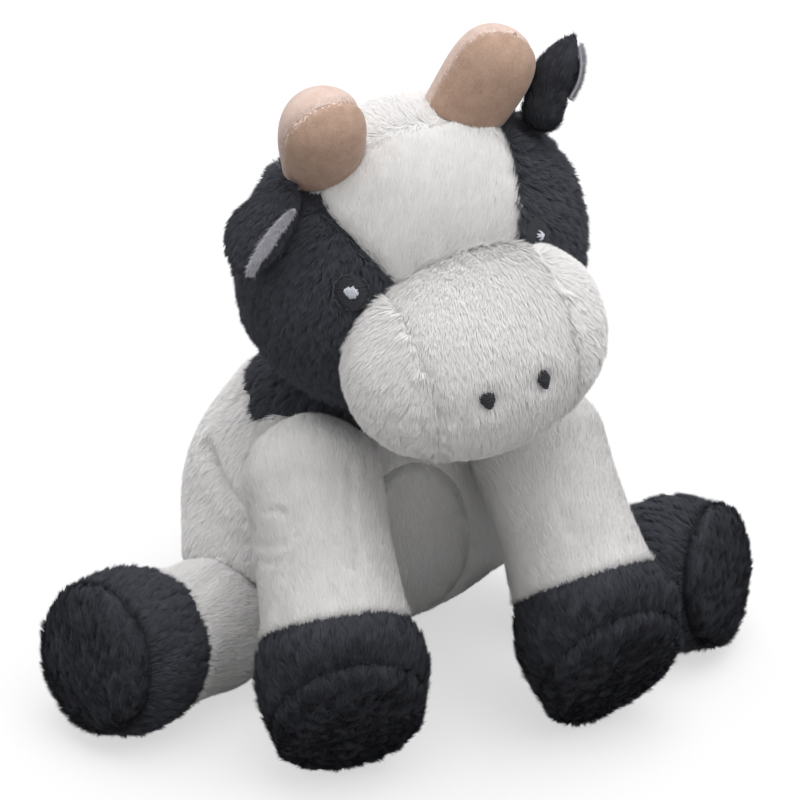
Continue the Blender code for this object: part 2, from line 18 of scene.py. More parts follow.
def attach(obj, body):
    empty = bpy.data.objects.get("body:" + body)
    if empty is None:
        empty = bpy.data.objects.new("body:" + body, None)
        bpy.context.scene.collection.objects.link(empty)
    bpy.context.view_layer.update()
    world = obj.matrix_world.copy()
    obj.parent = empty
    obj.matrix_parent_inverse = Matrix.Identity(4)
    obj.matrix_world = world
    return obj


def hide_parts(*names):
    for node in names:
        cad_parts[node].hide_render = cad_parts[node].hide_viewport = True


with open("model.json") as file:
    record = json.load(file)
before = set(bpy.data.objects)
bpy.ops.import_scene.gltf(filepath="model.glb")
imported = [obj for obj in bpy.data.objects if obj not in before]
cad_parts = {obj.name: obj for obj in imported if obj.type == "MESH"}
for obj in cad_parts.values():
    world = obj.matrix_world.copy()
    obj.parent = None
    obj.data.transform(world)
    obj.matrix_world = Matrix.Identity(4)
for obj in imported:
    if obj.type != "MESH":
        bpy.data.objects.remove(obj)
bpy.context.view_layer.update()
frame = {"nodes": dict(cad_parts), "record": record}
scene = bpy.context.scene
scene.view_settings.view_transform = "Standard"

# Studio: a pale paper floor under an even sky and one very soft lamp overhead, seen from above and
# from the cow's right, as in the photograph, whose light falls from above and hardly returns from below.
CAMERA_AZIMUTH = radians(-20)
CAMERA_ELEVATION = radians(24.5)
CAMERA_DISTANCE = 0.850
CAMERA_TARGET = Vector((-0.007, -0.043, 0.110))
CAMERA_LENS = 114.75          # on a 36 mm sensor
FLOOR_HALF_SIDE = 4.0
SKY_STRENGTH = 0.70
KEY_STRENGTH = 1.50
KEY_DIRECTION = Vector((-0.15, 0.22, -1.0))
KEY_SPREAD = radians(60)
PAPER_GLOW = 0.60             # how much of what the camera sees of the paper is the paper's own light
SIGNS = {"right": -1, "left": 1}    # the sides along X
MATH = "ShaderNodeMath"
VECTOR_MATH = "ShaderNodeVectorMath"


def linear(colour):
    """Linear light, with alpha 1, from an sRGB hex colour."""
    shares = [int(colour[i:i + 2], 16) / 255 for i in (0, 2, 4)]
    return tuple(c / 12.92 if c <= 0.04045 else ((c + 0.055) / 1.055) ** 2.4 for c in shares) + (1,)


def put(node, inputs):
    """Fills a node's inputs by name, or its open ones in order, with values, sockets or other nodes' results."""
    if not isinstance(inputs, dict):
        inputs = dict(zip((place for place, socket in enumerate(node.inputs) if socket.enabled), inputs))
    for name, value in inputs.items():
        if isinstance(value, bpy.types.Node):
            value = next(socket for socket in value.outputs if socket.enabled)
        if isinstance(value, bpy.types.NodeSocket):
            node.id_data.links.new(value, node.inputs[name])
        else:
            node.inputs[name].default_value = value


def add(tree, kind, inputs=(), **settings):
    """Adds a node with its settings and inputs."""
    made = tree.nodes.new(kind)
    for name, value in settings.items():
        setattr(made, name, value)
    put(made, inputs)
    return made


def work_out(tree, kind, known, steps):
    """Adds a node for each step and keeps its result: a name, an operation, and values or the names of results."""
    for name, operation, *values in steps:
        known[name] = add(tree, kind, [known.get(value, value) for value in values], operation=operation)


def finish_named(name, values):
    """A new node material, its tree and its Principled shader, with some of its values set."""
    material = bpy.data.materials.new(name)
    material.use_nodes = True
    shader = material.node_tree.nodes["Principled BSDF"]
    put(shader, values)
    return material, material.node_tree, shader


def new_object(name, data):
    """A new object in the scene."""
    made = bpy.data.objects.new(name, data)
    scene.collection.objects.link(made)
    return made


camera = new_object("camera", bpy.data.cameras.new("camera"))
scene.camera = camera
towards_camera = Vector((sin(CAMERA_AZIMUTH) * cos(CAMERA_ELEVATION),
                         -cos(CAMERA_AZIMUTH) * cos(CAMERA_ELEVATION), sin(CAMERA_ELEVATION)))
camera.location = CAMERA_TARGET + towards_camera * CAMERA_DISTANCE
camera.rotation_euler = (-towards_camera).to_track_quat("-Z", "Y").to_euler()
camera.data.sensor_width = 36
camera.data.lens = CAMERA_LENS

sky = bpy.data.worlds.new("studio_sky")
sky.use_nodes = True
scene.world = sky
sky_paths = add(sky.node_tree, "ShaderNodeLightPath").outputs
seen_sky = add(sky.node_tree, MATH, (sky_paths["Is Camera Ray"], sky_paths["Is Transmission Ray"]),
               operation="MAXIMUM")
sky_strength = add(sky.node_tree, "ShaderNodeMapRange", {"Value": seen_sky, "To Min": SKY_STRENGTH, "To Max": 1.0})
put(sky.node_tree.nodes["Background"], {"Color": linear("ffffff"), "Strength": sky_strength})

key = new_object("key_lamp", bpy.data.lights.new("key_lamp", "SUN"))
key.data.energy = KEY_STRENGTH
key.data.angle = KEY_SPREAD
key.rotation_euler = KEY_DIRECTION.to_track_quat("-Z", "Y").to_euler()

# Backdrop paper, matt: to the camera it is white, with most of its light from the paper itself and the
# cow's shadow left on it. It throws back to the cow what a grey paper would.
paper, paper_tree, paper_shader = finish_named("matt_backdrop_paper", {"Roughness": 1.0,
                                                                       "Specular IOR Level": 0.0})
seen_paper = add(paper_tree, "ShaderNodeLightPath").outputs["Is Camera Ray"]
paper_colour = add(paper_tree, "ShaderNodeMix", (seen_paper, linear("8a8988"), linear("ffffff")),
                   data_type="RGBA")
put(paper_shader, {"Base Color": paper_colour})
paper_white = add(paper_tree, "ShaderNodeEmission", (linear("ffffff"), 1.0))
paper_share = add(paper_tree, MATH, (seen_paper, PAPER_GLOW), operation="MULTIPLY")
paper_mix = add(paper_tree, "ShaderNodeMixShader", (paper_share, paper_shader, paper_white))
put(paper_tree.nodes["Material Output"], {"Surface": paper_mix})
floor_mesh = bpy.data.meshes.new("floor")
floor_mesh.from_pydata([(x * FLOOR_HALF_SIDE, y * FLOOR_HALF_SIDE, 0)
                        for x, y in ((-1, -1), (1, -1), (1, 1), (-1, 1))], [], [(0, 1, 2, 3)])
floor_mesh.materials.append(paper)
floor = new_object("floor", floor_mesh)

# Body: a pear of knitted-back pile fabric, a white panel on each side, a white belly panel in front and a
# black patch over the shoulders, sewn right sides together and turned, so each seam draws the cloth in.
BODY_RADII = (0.0640, 0.052, 0.066)
BODY_TAPER = 0.26
COMB_DOWN = (0, 0.1, -1)
BODY_AT = Matrix.Translation((0, 0.0110, 0.0649)) @ Matrix.Rotation(radians(29), 4, "X")
BALL_DETAIL = 5               # 2,562 corners, about 4.6 mm apart on the body
CLOTH = 0.0022                # the backing and the pressed roots of the pile
PILE_HEIGHT = 0.0016          # the skin lies this far under the CAD's surface, which the pile reaches
NODE_REACH = 0.0022           # a skin face belongs to the CAD panel that lies this near
SEAM_DEPTH = 0.0006
SEAM_WIDTH = 0.0028
LUMP_DEPTH = 0.0007
LUMP_SIZE = 0.016
SEAM_ROUNDS = 5               # how often the seam lines are evened
WHITE_PILE = {"Density": 8.5e6, "Length": 0.0032, "Width": 0.00042, "Lean": 2.6, "Stray": 0.45,
              "Clump stray": 0.25, "Clump size": 0.0030, "Clump pull": 0.10, "Clump tilt": 0.08}
BLACK_PILE = {"Density": 8.0e6, "Length": 0.0036, "Width": 0.00042, "Lean": 2.2, "Stray": 0.55,
              "Clump stray": 0.75, "Clump size": 0.0026, "Clump pull": 0.35, "Clump tilt": 0.10}
# the left legs' roots, in the middle of their round ends: place, radius, and the cloth's fullness and spread
SHOULDER = (Vector((0.0404, -0.0503, 0.0877)), 0.0240, 0.0035, 0.012)
HIP = (Vector((0.0684, -0.0184, 0.0217)), 0.0235, 0.0115, 0.017)
RIM_EASE = 0.0006             # the body's cloth lies this far over the sleeves'
RIM_TURN = -0.25              # and ends where it would turn down further than this
FULL_FROM = 0.004             # the fullness starts this far above a root's middle
FULL_OVER = 0.012             # and is whole after so much more
RIM_WIDTH = 0.004             # within this distance of the legs' skin
FOLD_POINTS = 12              # points of a fold's line from one of its given points to the next
FOLD_FINE = 0.008             # the cloth's corners are closer together this near to a fold
# a fold's raised sides: their height in shares of its depth, and their place and width in its widths
RIDGE_SHARE, RIDGE_PLACE, RIDGE_WIDTH = 0.30, 2.2, 1.1
# the folds that the photograph shows where the right hind leg meets the body: depth, width, points
BODY_FOLDS = (
    (0.0042, 0.0028, ((-0.0605, 0.0090, 0.0785), (-0.0591, 0.0043, 0.0760), (-0.0578, -0.0020, 0.0721),
                      (-0.0557, -0.0091, 0.0681), (-0.0525, -0.0165, 0.0640))),
    (0.0024, 0.0024, ((-0.0480, -0.0200, 0.0500), (-0.0513, -0.0140, 0.0448), (-0.0550, -0.0070, 0.0420))),
)


def clamped(value):
    """The value, held between 0 and 1."""
    return max(0, min(1, value))


def ball(radii, place, taper=0.0, detail=BALL_DETAIL):
    """A stuffed ball drawn out to three radii, narrower towards its top."""
    shape = bmesh.new()
    bmesh.ops.create_icosphere(shape, subdivisions=detail, radius=1)
    for corner in shape.verts:
        narrow = 1 - taper * corner.co.z
        corner.co = place @ Vector((corner.co.x * radii[0] * narrow, corner.co.y * radii[1] * narrow,
                                    corner.co.z * radii[2]))
    return shape


def nearest_nodes(shape, names, reach=NODE_REACH):
    """For each face of a smooth form, the CAD node that it belongs to, or None at a hole."""
    trees = {}
    for name in names:
        mesh = frame["nodes"][name].data
        trees[name] = BVHTree.FromPolygons([v.co for v in mesh.vertices], [p.vertices for p in mesh.polygons])
    found = {}
    for face in shape.faces:
        middle = face.calc_center_median()
        gap, name = min((trees[n].find_nearest(middle)[3], n) for n in names)
        found[face] = name if gap < reach else None
    return found


def nearest_of(points):
    """A lookup of the nearest of some points."""
    tree = KDTree(len(points))
    for index, point in enumerate(points):
        tree.insert(point, index)
    tree.balance()
    return tree


def near_folds(folds):
    """A lookup of the nearest fold's points, a few to each millimetre, and each point's depth and width."""
    points = [(Vector(a).lerp(Vector(b), step / FOLD_POINTS), depth, width) for depth, width, line in folds
              for a, b in zip(line, line[1:]) for step in range(FOLD_POINTS)]
    return nearest_of([point for point, _, _ in points]), points


def sew(shape, owners, lump=LUMP_DEPTH, depth=SEAM_DEPTH, width=SEAM_WIDTH, under=PILE_HEIGHT, folds=()):
    """Evens the seam lines, draws the cloth in along them and along the folds, between soft lumps."""
    seams = {}
    for edge in shape.edges:
        sides = {owners[face] for face in edge.link_faces}
        if len(sides) > 1:
            for corner in edge.verts:
                seams.setdefault(corner, []).append((edge, None not in sides))
    for _ in range(SEAM_ROUNDS):
        moved = {}
        for corner, edges in seams.items():
            if len(edges) == 2:
                ends = [edge.other_vert(corner).co for edge, _ in edges]
                moved[corner] = corner.co * 0.5 + (ends[0] + ends[1]) * 0.25
        for corner, place in moved.items():
            corner.co = place
    sewn = [corner for corner, edges in seams.items() if any(real for _, real in edges)]
    tree = nearest_of([corner.co for corner in sewn])
    shape.normal_update()
    fold_tree, fold_points = near_folds(folds)
    shifts = []
    for corner in shape.verts:
        shift = lump * noise.noise(corner.co / LUMP_SIZE) - under
        if sewn:
            shift -= depth * exp(-(tree.find(corner.co)[2] / width) ** 2)
        if folds:
            _, index, off = fold_tree.find(corner.co)
            _, fold_depth, fold_width = fold_points[index]
            ridge = RIDGE_SHARE * exp(-((off / fold_width - RIDGE_PLACE) / RIDGE_WIDTH) ** 2)
            shift += fold_depth * (ridge - exp(-(off / fold_width) ** 2))
        shifts.append(corner.normal * shift)
    for corner, shift in zip(shape.verts, shifts):
        corner.co += shift
        corner.co.z = max(corner.co.z, 0)
    shape.normal_update()


def cloth_piece(name, shape, faces, bald=(), thickness=CLOTH, ruffle=None):
    """A closed sheet of cloth from some faces of a form. Pile grows on what isn't bald."""
    corners = {}
    for face in faces:
        for corner in face.verts:
            corners.setdefault(corner, len(corners))
    outer = [corner.co.copy() for corner in corners]
    inner = [corner.co - corner.normal * thickness for corner in corners]
    for place in inner:
        place.z = max(place.z, 0)
    count = len(outer)
    polygons = [[corners[corner] for corner in face.verts] for face in faces]
    piled = [not any((face.calc_center_median() - centre).length < radius for centre, radius in bald)
             for face in faces]
    sides = {}
    for polygon in polygons:
        for a, b in zip(polygon, polygon[1:] + polygon[:1]):
            sides[(a, b)] = (b, a) not in sides
            if (b, a) in sides:
                sides[(b, a)] = False
    rim = [(b, a, a + count, b + count) for (a, b), single in sides.items() if single]
    lining = [[index + count for index in reversed(polygon)] for polygon in polygons]
    mesh = bpy.data.meshes.new(name)
    mesh.from_pydata(outer + inner, [], polygons + lining + rim)
    mesh.shade_smooth()
    outside = mesh.attributes.new("outside", "BOOLEAN", "FACE")
    outside.data.foreach_set("value", piled + [False] * (len(lining) + len(rim)))
    ruffled = mesh.attributes.new("ruffled", "FLOAT", "POINT")
    ruffled.data.foreach_set("value", [ruffle(place) if ruffle else 1.0 for place in outer + inner])
    return new_object(name, mesh)


# The pile's tree lays narrow pointed tufts of yarn on the outer faces like shingles. They lean along the
# comb, stray a little, and draw together in clumps. None reaches under the floor.
SHORTEST, LONGEST = 0.72, 1.12    # a tuft's length, in shares of the pile's
ROLL = 0.35                   # how far a tuft's flat side turns off the cloth
OWN_NORMAL = 0.12             # how much of its own face a tuft shows in the light, beside the cloth's
FLOOR_CLEARANCE = 0.0003


def new_tree(name, **inputs):
    """A Geometry Nodes tree, its inputs by kind as its nodes see them, and their identifiers."""
    tree = bpy.data.node_groups.new(name, "GeometryNodeTree")
    tree.interface.new_socket("Geometry", in_out="OUTPUT", socket_type="NodeSocketGeometry")
    keys = {}
    for kind, titles in inputs.items():
        for title in titles:
            socket = tree.interface.new_socket(title, in_out="INPUT", socket_type="NodeSocket" + kind)
            keys[title] = socket.identifier
    return tree, tree.nodes.new("NodeGroupInput").outputs, keys


pile_tree, given, pile_keys = new_tree(
    "pile", Geometry=("Geometry",), Float=("Density", "Length", "Width", "Lean", "Stray", "Clump stray",
                                           "Clump size", "Clump pull", "Clump tilt"),
    Vector=("Comb",), Int=("Seed",), Material=("Finish",))
outer_faces = add(pile_tree, "GeometryNodeInputNamedAttribute", ("outside",), data_type="BOOLEAN")
spots = add(pile_tree, "GeometryNodeDistributePointsOnFaces",
            {"Mesh": given["Geometry"], "Selection": outer_faces, "Density": given["Density"],
             "Seed": given["Seed"]})
pile = dict(given.items())
work_out(pile_tree, MATH, pile, (("clumps", "DIVIDE", 1.0, "Clump size"),))
pile["root"] = add(pile_tree, "GeometryNodeInputPosition")
clump = add(pile_tree, "ShaderNodeTexVoronoi", {"Vector": pile["root"], "Scale": pile["clumps"]}).outputs
own_stray = add(pile_tree, "FunctionNodeRandomValue", {0: (-1, -1, -1), 1: (1, 1, 1), "Seed": given["Seed"]},
                data_type="FLOAT_VECTOR")
length = add(pile_tree, "FunctionNodeRandomValue", {2: SHORTEST, 3: LONGEST, "Seed": given["Seed"]},
             data_type="FLOAT")
ruffled = add(pile_tree, "GeometryNodeInputNamedAttribute", ("ruffled",), data_type="FLOAT")
pile.update({"up": spots.outputs["Normal"], "tone": clump["Color"], "centre": clump["Position"],
             "own": own_stray, "length": length, "ruffled": ruffled})
work_out(pile_tree, MATH, pile, (
    ("turn", "MULTIPLY", "Clump stray", "ruffled"), ("turn", "MULTIPLY", "turn", 2.0),
    ("tilt", "MULTIPLY", "Clump tilt", "ruffled"), ("length", "MULTIPLY", "length", "Length")))
work_out(pile_tree, VECTOR_MATH, pile, (
    ("clump", "SUBTRACT", "tone", (0.5, 0.5, 0.5)),
    # the comb and the way to the clump's centre, without what points off the cloth
    ("off", "DOT_PRODUCT", "Comb", "up"), ("off", "SCALE", "up", "off"), ("comb", "SUBTRACT", "Comb", "off"),
    ("comb", "NORMALIZE", "comb"), ("inwards", "SUBTRACT", "centre", "root"),
    ("off", "DOT_PRODUCT", "inwards", "up"), ("off", "SCALE", "up", "off"),
    ("inwards", "SUBTRACT", "inwards", "off"), ("inwards", "SCALE", "inwards", "Clump pull"),
    ("comb", "SCALE", "comb", "Lean"), ("lean", "ADD", "up", "comb"),
    ("stray", "SCALE", "own", "Stray"), ("lean", "ADD", "lean", "stray"),
    ("turn", "SCALE", "clump", "turn"), ("lean", "ADD", "lean", "turn"), ("lean", "NORMALIZE", "lean"),
    ("reach", "SCALE", "lean", "length"), ("reach", "ADD", "reach", "inwards"), ("tip", "ADD", "root", "reach"),
    ("roll", "SCALE", "own", ROLL), ("roll", "ADD", "up", "roll"),
    ("tilt", "SCALE", "clump", "tilt"), ("tilt", "ADD", "up", "tilt")))
tip = add(pile_tree, "ShaderNodeSeparateXYZ", (pile["tip"],)).outputs
tip_height = add(pile_tree, MATH, (tip["Z"], FLOOR_CLEARANCE), operation="MAXIMUM")
pile["tip"] = add(pile_tree, "ShaderNodeCombineXYZ", (tip["X"], tip["Y"], tip_height))
work_out(pile_tree, VECTOR_MATH, pile, (("reach", "SUBTRACT", "tip", "root"), ("size", "LENGTH", "reach")))
aim = add(pile_tree, "FunctionNodeAlignRotationToVector", {"Vector": pile["reach"]}, axis="X")
aim = add(pile_tree, "FunctionNodeAlignRotationToVector", {"Rotation": aim, "Vector": pile["roll"]}, axis="Z",
          pivot_axis="X")
size = add(pile_tree, "ShaderNodeCombineXYZ", (pile["size"], given["Width"], 1.0))
# a pointed tuft one unit long and one wide, with its foot at the origin
tuft = add(pile_tree, "GeometryNodeMeshCircle", {"Vertices": 3, "Radius": 1.0}, fill_type="NGON")
tuft = add(pile_tree, "GeometryNodeTransform", {"Geometry": tuft, "Translation": (1 / 3, 0, 0),
                                                "Scale": (1 / 1.5, 1 / 3 ** 0.5, 1)})
along_tuft = add(pile_tree, "ShaderNodeSeparateXYZ", (add(pile_tree, "GeometryNodeInputPosition"),))
clump_tone = add(pile_tree, "ShaderNodeSeparateXYZ", (clump["Color"],))
own_normal = add(pile_tree, "GeometryNodeInputNormal")
marked = {"tuft": tuft, "spots": spots, "backing": given["Geometry"]}
for part, name, value, kind in (("tuft", "along", along_tuft, "FLOAT"), ("spots", "tone", clump_tone, "FLOAT"),
                                ("spots", "upright", pile["tilt"], "FLOAT_VECTOR"),
                                ("backing", "upright", own_normal, "FLOAT_VECTOR")):
    marked[part] = add(pile_tree, "GeometryNodeStoreNamedAttribute",
                       {"Geometry": marked[part], "Name": name, "Value": value}, data_type=kind, domain="POINT")
tufts = add(pile_tree, "GeometryNodeInstanceOnPoints", {"Points": marked["spots"], "Instance": marked["tuft"],
                                                        "Rotation": aim, "Scale": size})
tufts = add(pile_tree, "GeometryNodeRealizeInstances", (tufts,))
joined = add(pile_tree, "GeometryNodeJoinGeometry", (tufts,))
put(joined, (marked["backing"],))
stored = add(pile_tree, "GeometryNodeInputNamedAttribute", ("upright",), data_type="FLOAT_VECTOR")
pile.update({"own normal": own_normal, "stored": stored})
work_out(pile_tree, VECTOR_MATH, pile, (
    ("shown", "SCALE", "own normal", OWN_NORMAL), ("shown", "ADD", "stored", "shown"),
    ("shown", "NORMALIZE", "shown")))
shaded = add(pile_tree, "GeometryNodeSetMeshNormal", (joined, pile["shown"]), mode="FREE", domain="POINT")
dressed = add(pile_tree, "GeometryNodeSetMaterial", {"Geometry": shaded, "Material": given["Finish"]})
add(pile_tree, "NodeGroupOutput", (dressed,))


def bake_modifier(piece):
    """Turns the result of the piece's modifiers into its own plain mesh."""
    bpy.context.view_layer.update()
    seen = piece.evaluated_get(bpy.context.evaluated_depsgraph_get())
    mesh = bpy.data.meshes.new_from_object(seen, preserve_all_data_layers=True,
                                           depsgraph=bpy.context.evaluated_depsgraph_get())
    piece.modifiers.clear()
    piece.data = mesh
    mesh.name = piece.name


def run_tree(piece, tree, keys, values):
    """Runs a tree on a piece and keeps what comes out as the piece's plain mesh."""
    modifier = piece.modifiers.new(tree.name, "NODES")
    modifier.node_group = tree
    for name, value in values.items():
        modifier[keys[name]] = value
    bake_modifier(piece)


def declare(piece, node, body):
    """Hides the CAD's solid that a piece stands for, and hangs the piece on what carries it."""
    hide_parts(node)
    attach(piece, body)


def pile_finish(name, shaded_root_colour, tip_colour, shade_colour, sheen_tint="ffffff"):
    """Pile yarn, with painted shade: darker at its roots, where less light gets in, and a little uneven from clump
    to clump.
    """
    material, tree, shader = finish_named(name, {
        "Roughness": 0.9, "Specular IOR Level": 0.15, "Sheen Weight": 0.10, "Sheen Roughness": 0.5,
        "Sheen Tint": linear(sheen_tint)})
    up = add(tree, "ShaderNodeAttribute", attribute_name="along").outputs["Fac"]
    clump_tone = add(tree, "ShaderNodeAttribute", attribute_name="tone").outputs["Fac"]
    place = add(tree, "ShaderNodeTexCoord").outputs["Object"]
    # dye and brushing vary over about 12 mm
    patches = add(tree, "ShaderNodeTexNoise", {"Vector": place, "Scale": 1 / 0.012, "Detail": 2.0})
    uneven = add(tree, MATH, (patches, clump_tone), operation="ADD")
    uneven = add(tree, "ShaderNodeMapRange", {"Value": uneven, "From Min": 0.4, "From Max": 1.6})
    tips = add(tree, "ShaderNodeMix", (uneven, linear(shade_colour), linear(tip_colour)), data_type="RGBA")
    # painted shade: the colour darkens from the tips down to the roots
    whole = add(tree, "ShaderNodeMix", (up, linear(shaded_root_colour), tips), data_type="RGBA")
    put(shader, {"Base Color": whole})
    return material


# Brushed polyester pile, white with a faint warm cast.
pile_finishes = {"white_plush": pile_finish("brushed_white_pile", "faf9f8", "fefdfd", "fbfaf9")}
# The same pile dyed black, with a cool grey sheen; its tips are painted a lighter cool grey than its roots, as
# painted light.
pile_finishes["black_plush"] = pile_finish("brushed_black_pile", "3e3f45", "5d5f67", "50525a", "b4b8c4")


def sew_panels(form, panels, body, bald=(), lump=LUMP_DEPTH, reach=NODE_REACH, hidden=None,
               under=PILE_HEIGHT, thickness=CLOTH, seam=SEAM_DEPTH, folds=(), redrawn=None, swell=None,
               ruffle=None):
    """Splits a form into the CAD's panels, and grows and declares each: name: (slot, pile, comb)."""
    if folds:
        fold_tree, _ = near_folds(folds)
        close = [edge for edge in form.edges
                 if min(fold_tree.find(end.co)[2] for end in edge.verts) < FOLD_FINE]
        bmesh.ops.subdivide_edges(form, edges=close, cuts=1)
    owners = nearest_nodes(form, list(panels), reach)
    if redrawn:
        owners = {face: redrawn(face.calc_center_median(), name) for face, name in owners.items()}
    if swell:
        swell(form, owners)
    sew(form, owners, lump, seam, under=under, folds=folds)
    faces = {name: [] for name in panels}
    for face, name in owners.items():
        if name:
            faces[name].append(face)
    for name, (slot, pile, comb) in panels.items():
        piece = cloth_piece(name + "_cloth", form, faces[name], bald, thickness, ruffle)
        if hidden:
            flags = piece.data.attributes["outside"].data
            for polygon in piece.data.polygons:
                if flags[polygon.index].value and hidden(polygon.center):
                    flags[polygon.index].value = False
        run_tree(piece, pile_tree, pile_keys, {**pile, "Comb": Vector(comb), "Seed": sum(name.encode()),
                                               "Finish": pile_finishes[slot]})
        declare(piece, name, body)
    form.free()


def fill_hips(form, owners):
    """Fills the body's cloth out above the legs' round roots. It ends where it would turn down over them."""
    for place, radius, fullness, spread in (SHOULDER, HIP):
        roots = [Vector((sign * place.x, place.y, place.z)) for sign in SIGNS.values()]
        form.normal_update()
        for corner in form.verts:
            root = roots[corner.co.x > 0]
            away = corner.co - root
            above = clamped((away.z - FULL_FROM) / FULL_OVER)
            gap = max(0, away.length - radius)
            corner.co += corner.normal * fullness * above * exp(-(gap / spread) ** 2)
            away = corner.co - root
            if above and away.length < radius + RIM_EASE:
                corner.co = root + away.normalized() * (radius + RIM_EASE)
        form.normal_update()
        for face in form.faces:
            middle = face.calc_center_median()
            if (middle - roots[middle.x > 0]).length < radius + RIM_WIDTH and face.normal.z < RIM_TURN:
                owners[face] = None


PATCH_TIP = Vector((0.0430, -0.0050, 0.0990))
PATCH_TIP_RADIUS = 0.008


def shoulder_point(place, name):
    """The black patch runs down to a point beside each front leg."""
    away = Vector((abs(place.x), place.y, place.z)) - PATCH_TIP
    if name and name.startswith("body_panel") and away.length < PATCH_TIP_RADIUS:
        return "saddle_patch"
    return name


sew_panels(ball(BODY_RADII, BODY_AT, BODY_TAPER), {
    "body_panel_right": ("white_plush", WHITE_PILE, COMB_DOWN),
    "body_panel_left": ("white_plush", WHITE_PILE, COMB_DOWN),
    "belly_panel": ("white_plush", WHITE_PILE, COMB_DOWN),
    "saddle_patch": ("black_plush", BLACK_PILE, COMB_DOWN),
}, "body", seam=0.0002, folds=BODY_FOLDS, redrawn=shoulder_point, swell=fill_hips)


# Neck: the black plush that joins the head to the shoulders, gathered into a short thick band.
NECK_RADII = (0.0483, 0.0483, 0.0483)
NECK_AT = Matrix.Translation((0, 0.0003, 0.0842))
sew_panels(ball(NECK_RADII, NECK_AT), {"neck_band": ("black_plush", BLACK_PILE, COMB_DOWN)}, "neck")


# Head: a white forehead between two black cheeks, a white crown behind the seam from horn to horn, and a
# muzzle of three white panels whose side panels are brushed up into clumps.
HEAD_RADII = (0.060, 0.0465, 0.053)
HEAD_AT = (Matrix.Translation((-0.0020, -0.0409, 0.1612)) @ Matrix.Rotation(radians(2.3), 4, "Z")
           @ Matrix.Rotation(radians(-11.6), 4, "Y"))
MUZZLE_RADII = (0.0452, 0.0325, 0.0354)
MUZZLE_AT = HEAD_AT @ Matrix.Translation((0, -0.0428, -0.0179))
EYE_SHARES = {"right": (-0.56, -0.79, 0.235), "left": (0.485, -0.848, 0.195)}
EYE_RADIUS = 0.0060
EYE_BALD = {"right": 0.84, "left": 0.3}    # no pile grows within these shares of an eye's radius
NOSTRIL_BALD = 0.9
NOSTRIL_SHARES = {"right": (-0.215, -0.97, -0.045), "left": (0.215, -0.97, -0.045)}
NOSTRIL_RADIUS = 0.0023
MUZZLE_PILE = {**WHITE_PILE, "Lean": 2.8, "Stray": 0.35, "Clump size": 0.0034, "Clump pull": 0.15,
               "Clump stray": 1.0, "Clump tilt": 0.26}
# where the muzzle's pile is ruffled, in shares of its radii, over how far, and how much
RUFFLES = (((-0.72, -0.66, -0.28), 0.017, 1.0), ((0.80, -0.55, -0.10), 0.012, 0.5))
SMOOTH_PILE = {**WHITE_PILE, "Stray": 0.35, "Clump stray": 0.15, "Clump tilt": 0.04}
DIMPLE_DEPTH = 0.0014         # the embroidery pulls the muzzle's cloth in
DIMPLE_WIDTH = 0.0036
BLAZE_EASE = 0.0023           # the cheeks' pile comes over the white stripe by this much
# the stripe's edge: heights and half widths in shares of the head's radii
STRIPE_HEIGHTS = (-0.45, 0.25, 0.74, 1.3)
STRIPE_WIDTHS = (0.13, 0.42, 0.60, 0.80)
EVEN_RUFFLE = 0.12            # the muzzle's pile is ruffled this much everywhere


def on_ball(radii, shares, place):
    """A turned and moved frame on a ball's surface, with Z outwards and X level."""
    unit = Vector(shares).normalized()
    point = Vector([unit[i] * radii[i] for i in range(3)])
    outwards = Vector([unit[i] / radii[i] for i in range(3)]).normalized()
    level = Vector((0, 0, 1)).cross(outwards).normalized()
    turn = Matrix((level, outwards.cross(level), outwards)).transposed().to_4x4()
    return place @ Matrix.Translation(point) @ turn


eyes_at = {side: on_ball(HEAD_RADII, EYE_SHARES[side], HEAD_AT) for side in EYE_SHARES}
nostrils_at = {side: on_ball(MUZZLE_RADII, NOSTRIL_SHARES[side], MUZZLE_AT) for side in NOSTRIL_SHARES}
eye_spots = [(eyes_at[side].translation, EYE_RADIUS * share) for side, share in EYE_BALD.items()]
nostril_spots = [(place.translation, NOSTRIL_RADIUS * NOSTRIL_BALD) for place in nostrils_at.values()]
ruffle_spots = [(on_ball(MUZZLE_RADII, shares, MUZZLE_AT).translation, spread, share)
                for shares, spread, share in RUFFLES]


def cheek_over(place, name):
    """The cheeks reach a little way over the white stripe's two edges."""
    spot = HEAD_AT.inverted() @ place
    heights = [height * HEAD_RADII[2] for height in STRIPE_HEIGHTS]
    widths = [width * HEAD_RADII[0] for width in STRIPE_WIDTHS]
    edge = np.interp(spot.z, heights, widths) - BLAZE_EASE
    if name in ("forehead_panel", "crown_panel") and abs(spot.x) > edge:
        return "cheek_left" if spot.x > 0 else "cheek_right"
    return name


def muzzle_ruffle(place):
    return EVEN_RUFFLE + sum(share * exp(-((place - spot).length / spread) ** 2)
                             for spot, spread, share in ruffle_spots)


sew_panels(ball(HEAD_RADII, HEAD_AT), {
    "forehead_panel": ("white_plush", SMOOTH_PILE, (0.35, 0.5, 1)),
    "crown_panel": ("white_plush", SMOOTH_PILE, (0, 0.6, -1)),
    "cheek_right": ("black_plush", BLACK_PILE, (0.1, 0.5, -1)),
    "cheek_left": ("black_plush", BLACK_PILE, (0.2, 0.5, -1)),
}, "head", bald=eye_spots, seam=0.0004, redrawn=cheek_over)
sew_panels(ball(MUZZLE_RADII, MUZZLE_AT), {
    "muzzle_gusset": ("white_plush", MUZZLE_PILE, (0, -0.3, -1)),
    "muzzle_side_right": ("white_plush", MUZZLE_PILE, (-0.3, 0.2, -1)),
    "muzzle_side_left": ("white_plush", MUZZLE_PILE, (0.3, 0.2, -1)),
}, "head", bald=nostril_spots, ruffle=muzzle_ruffle,
    folds=[(DIMPLE_DEPTH, DIMPLE_WIDTH, (place.translation, place.translation)) for place in nostrils_at.values()])


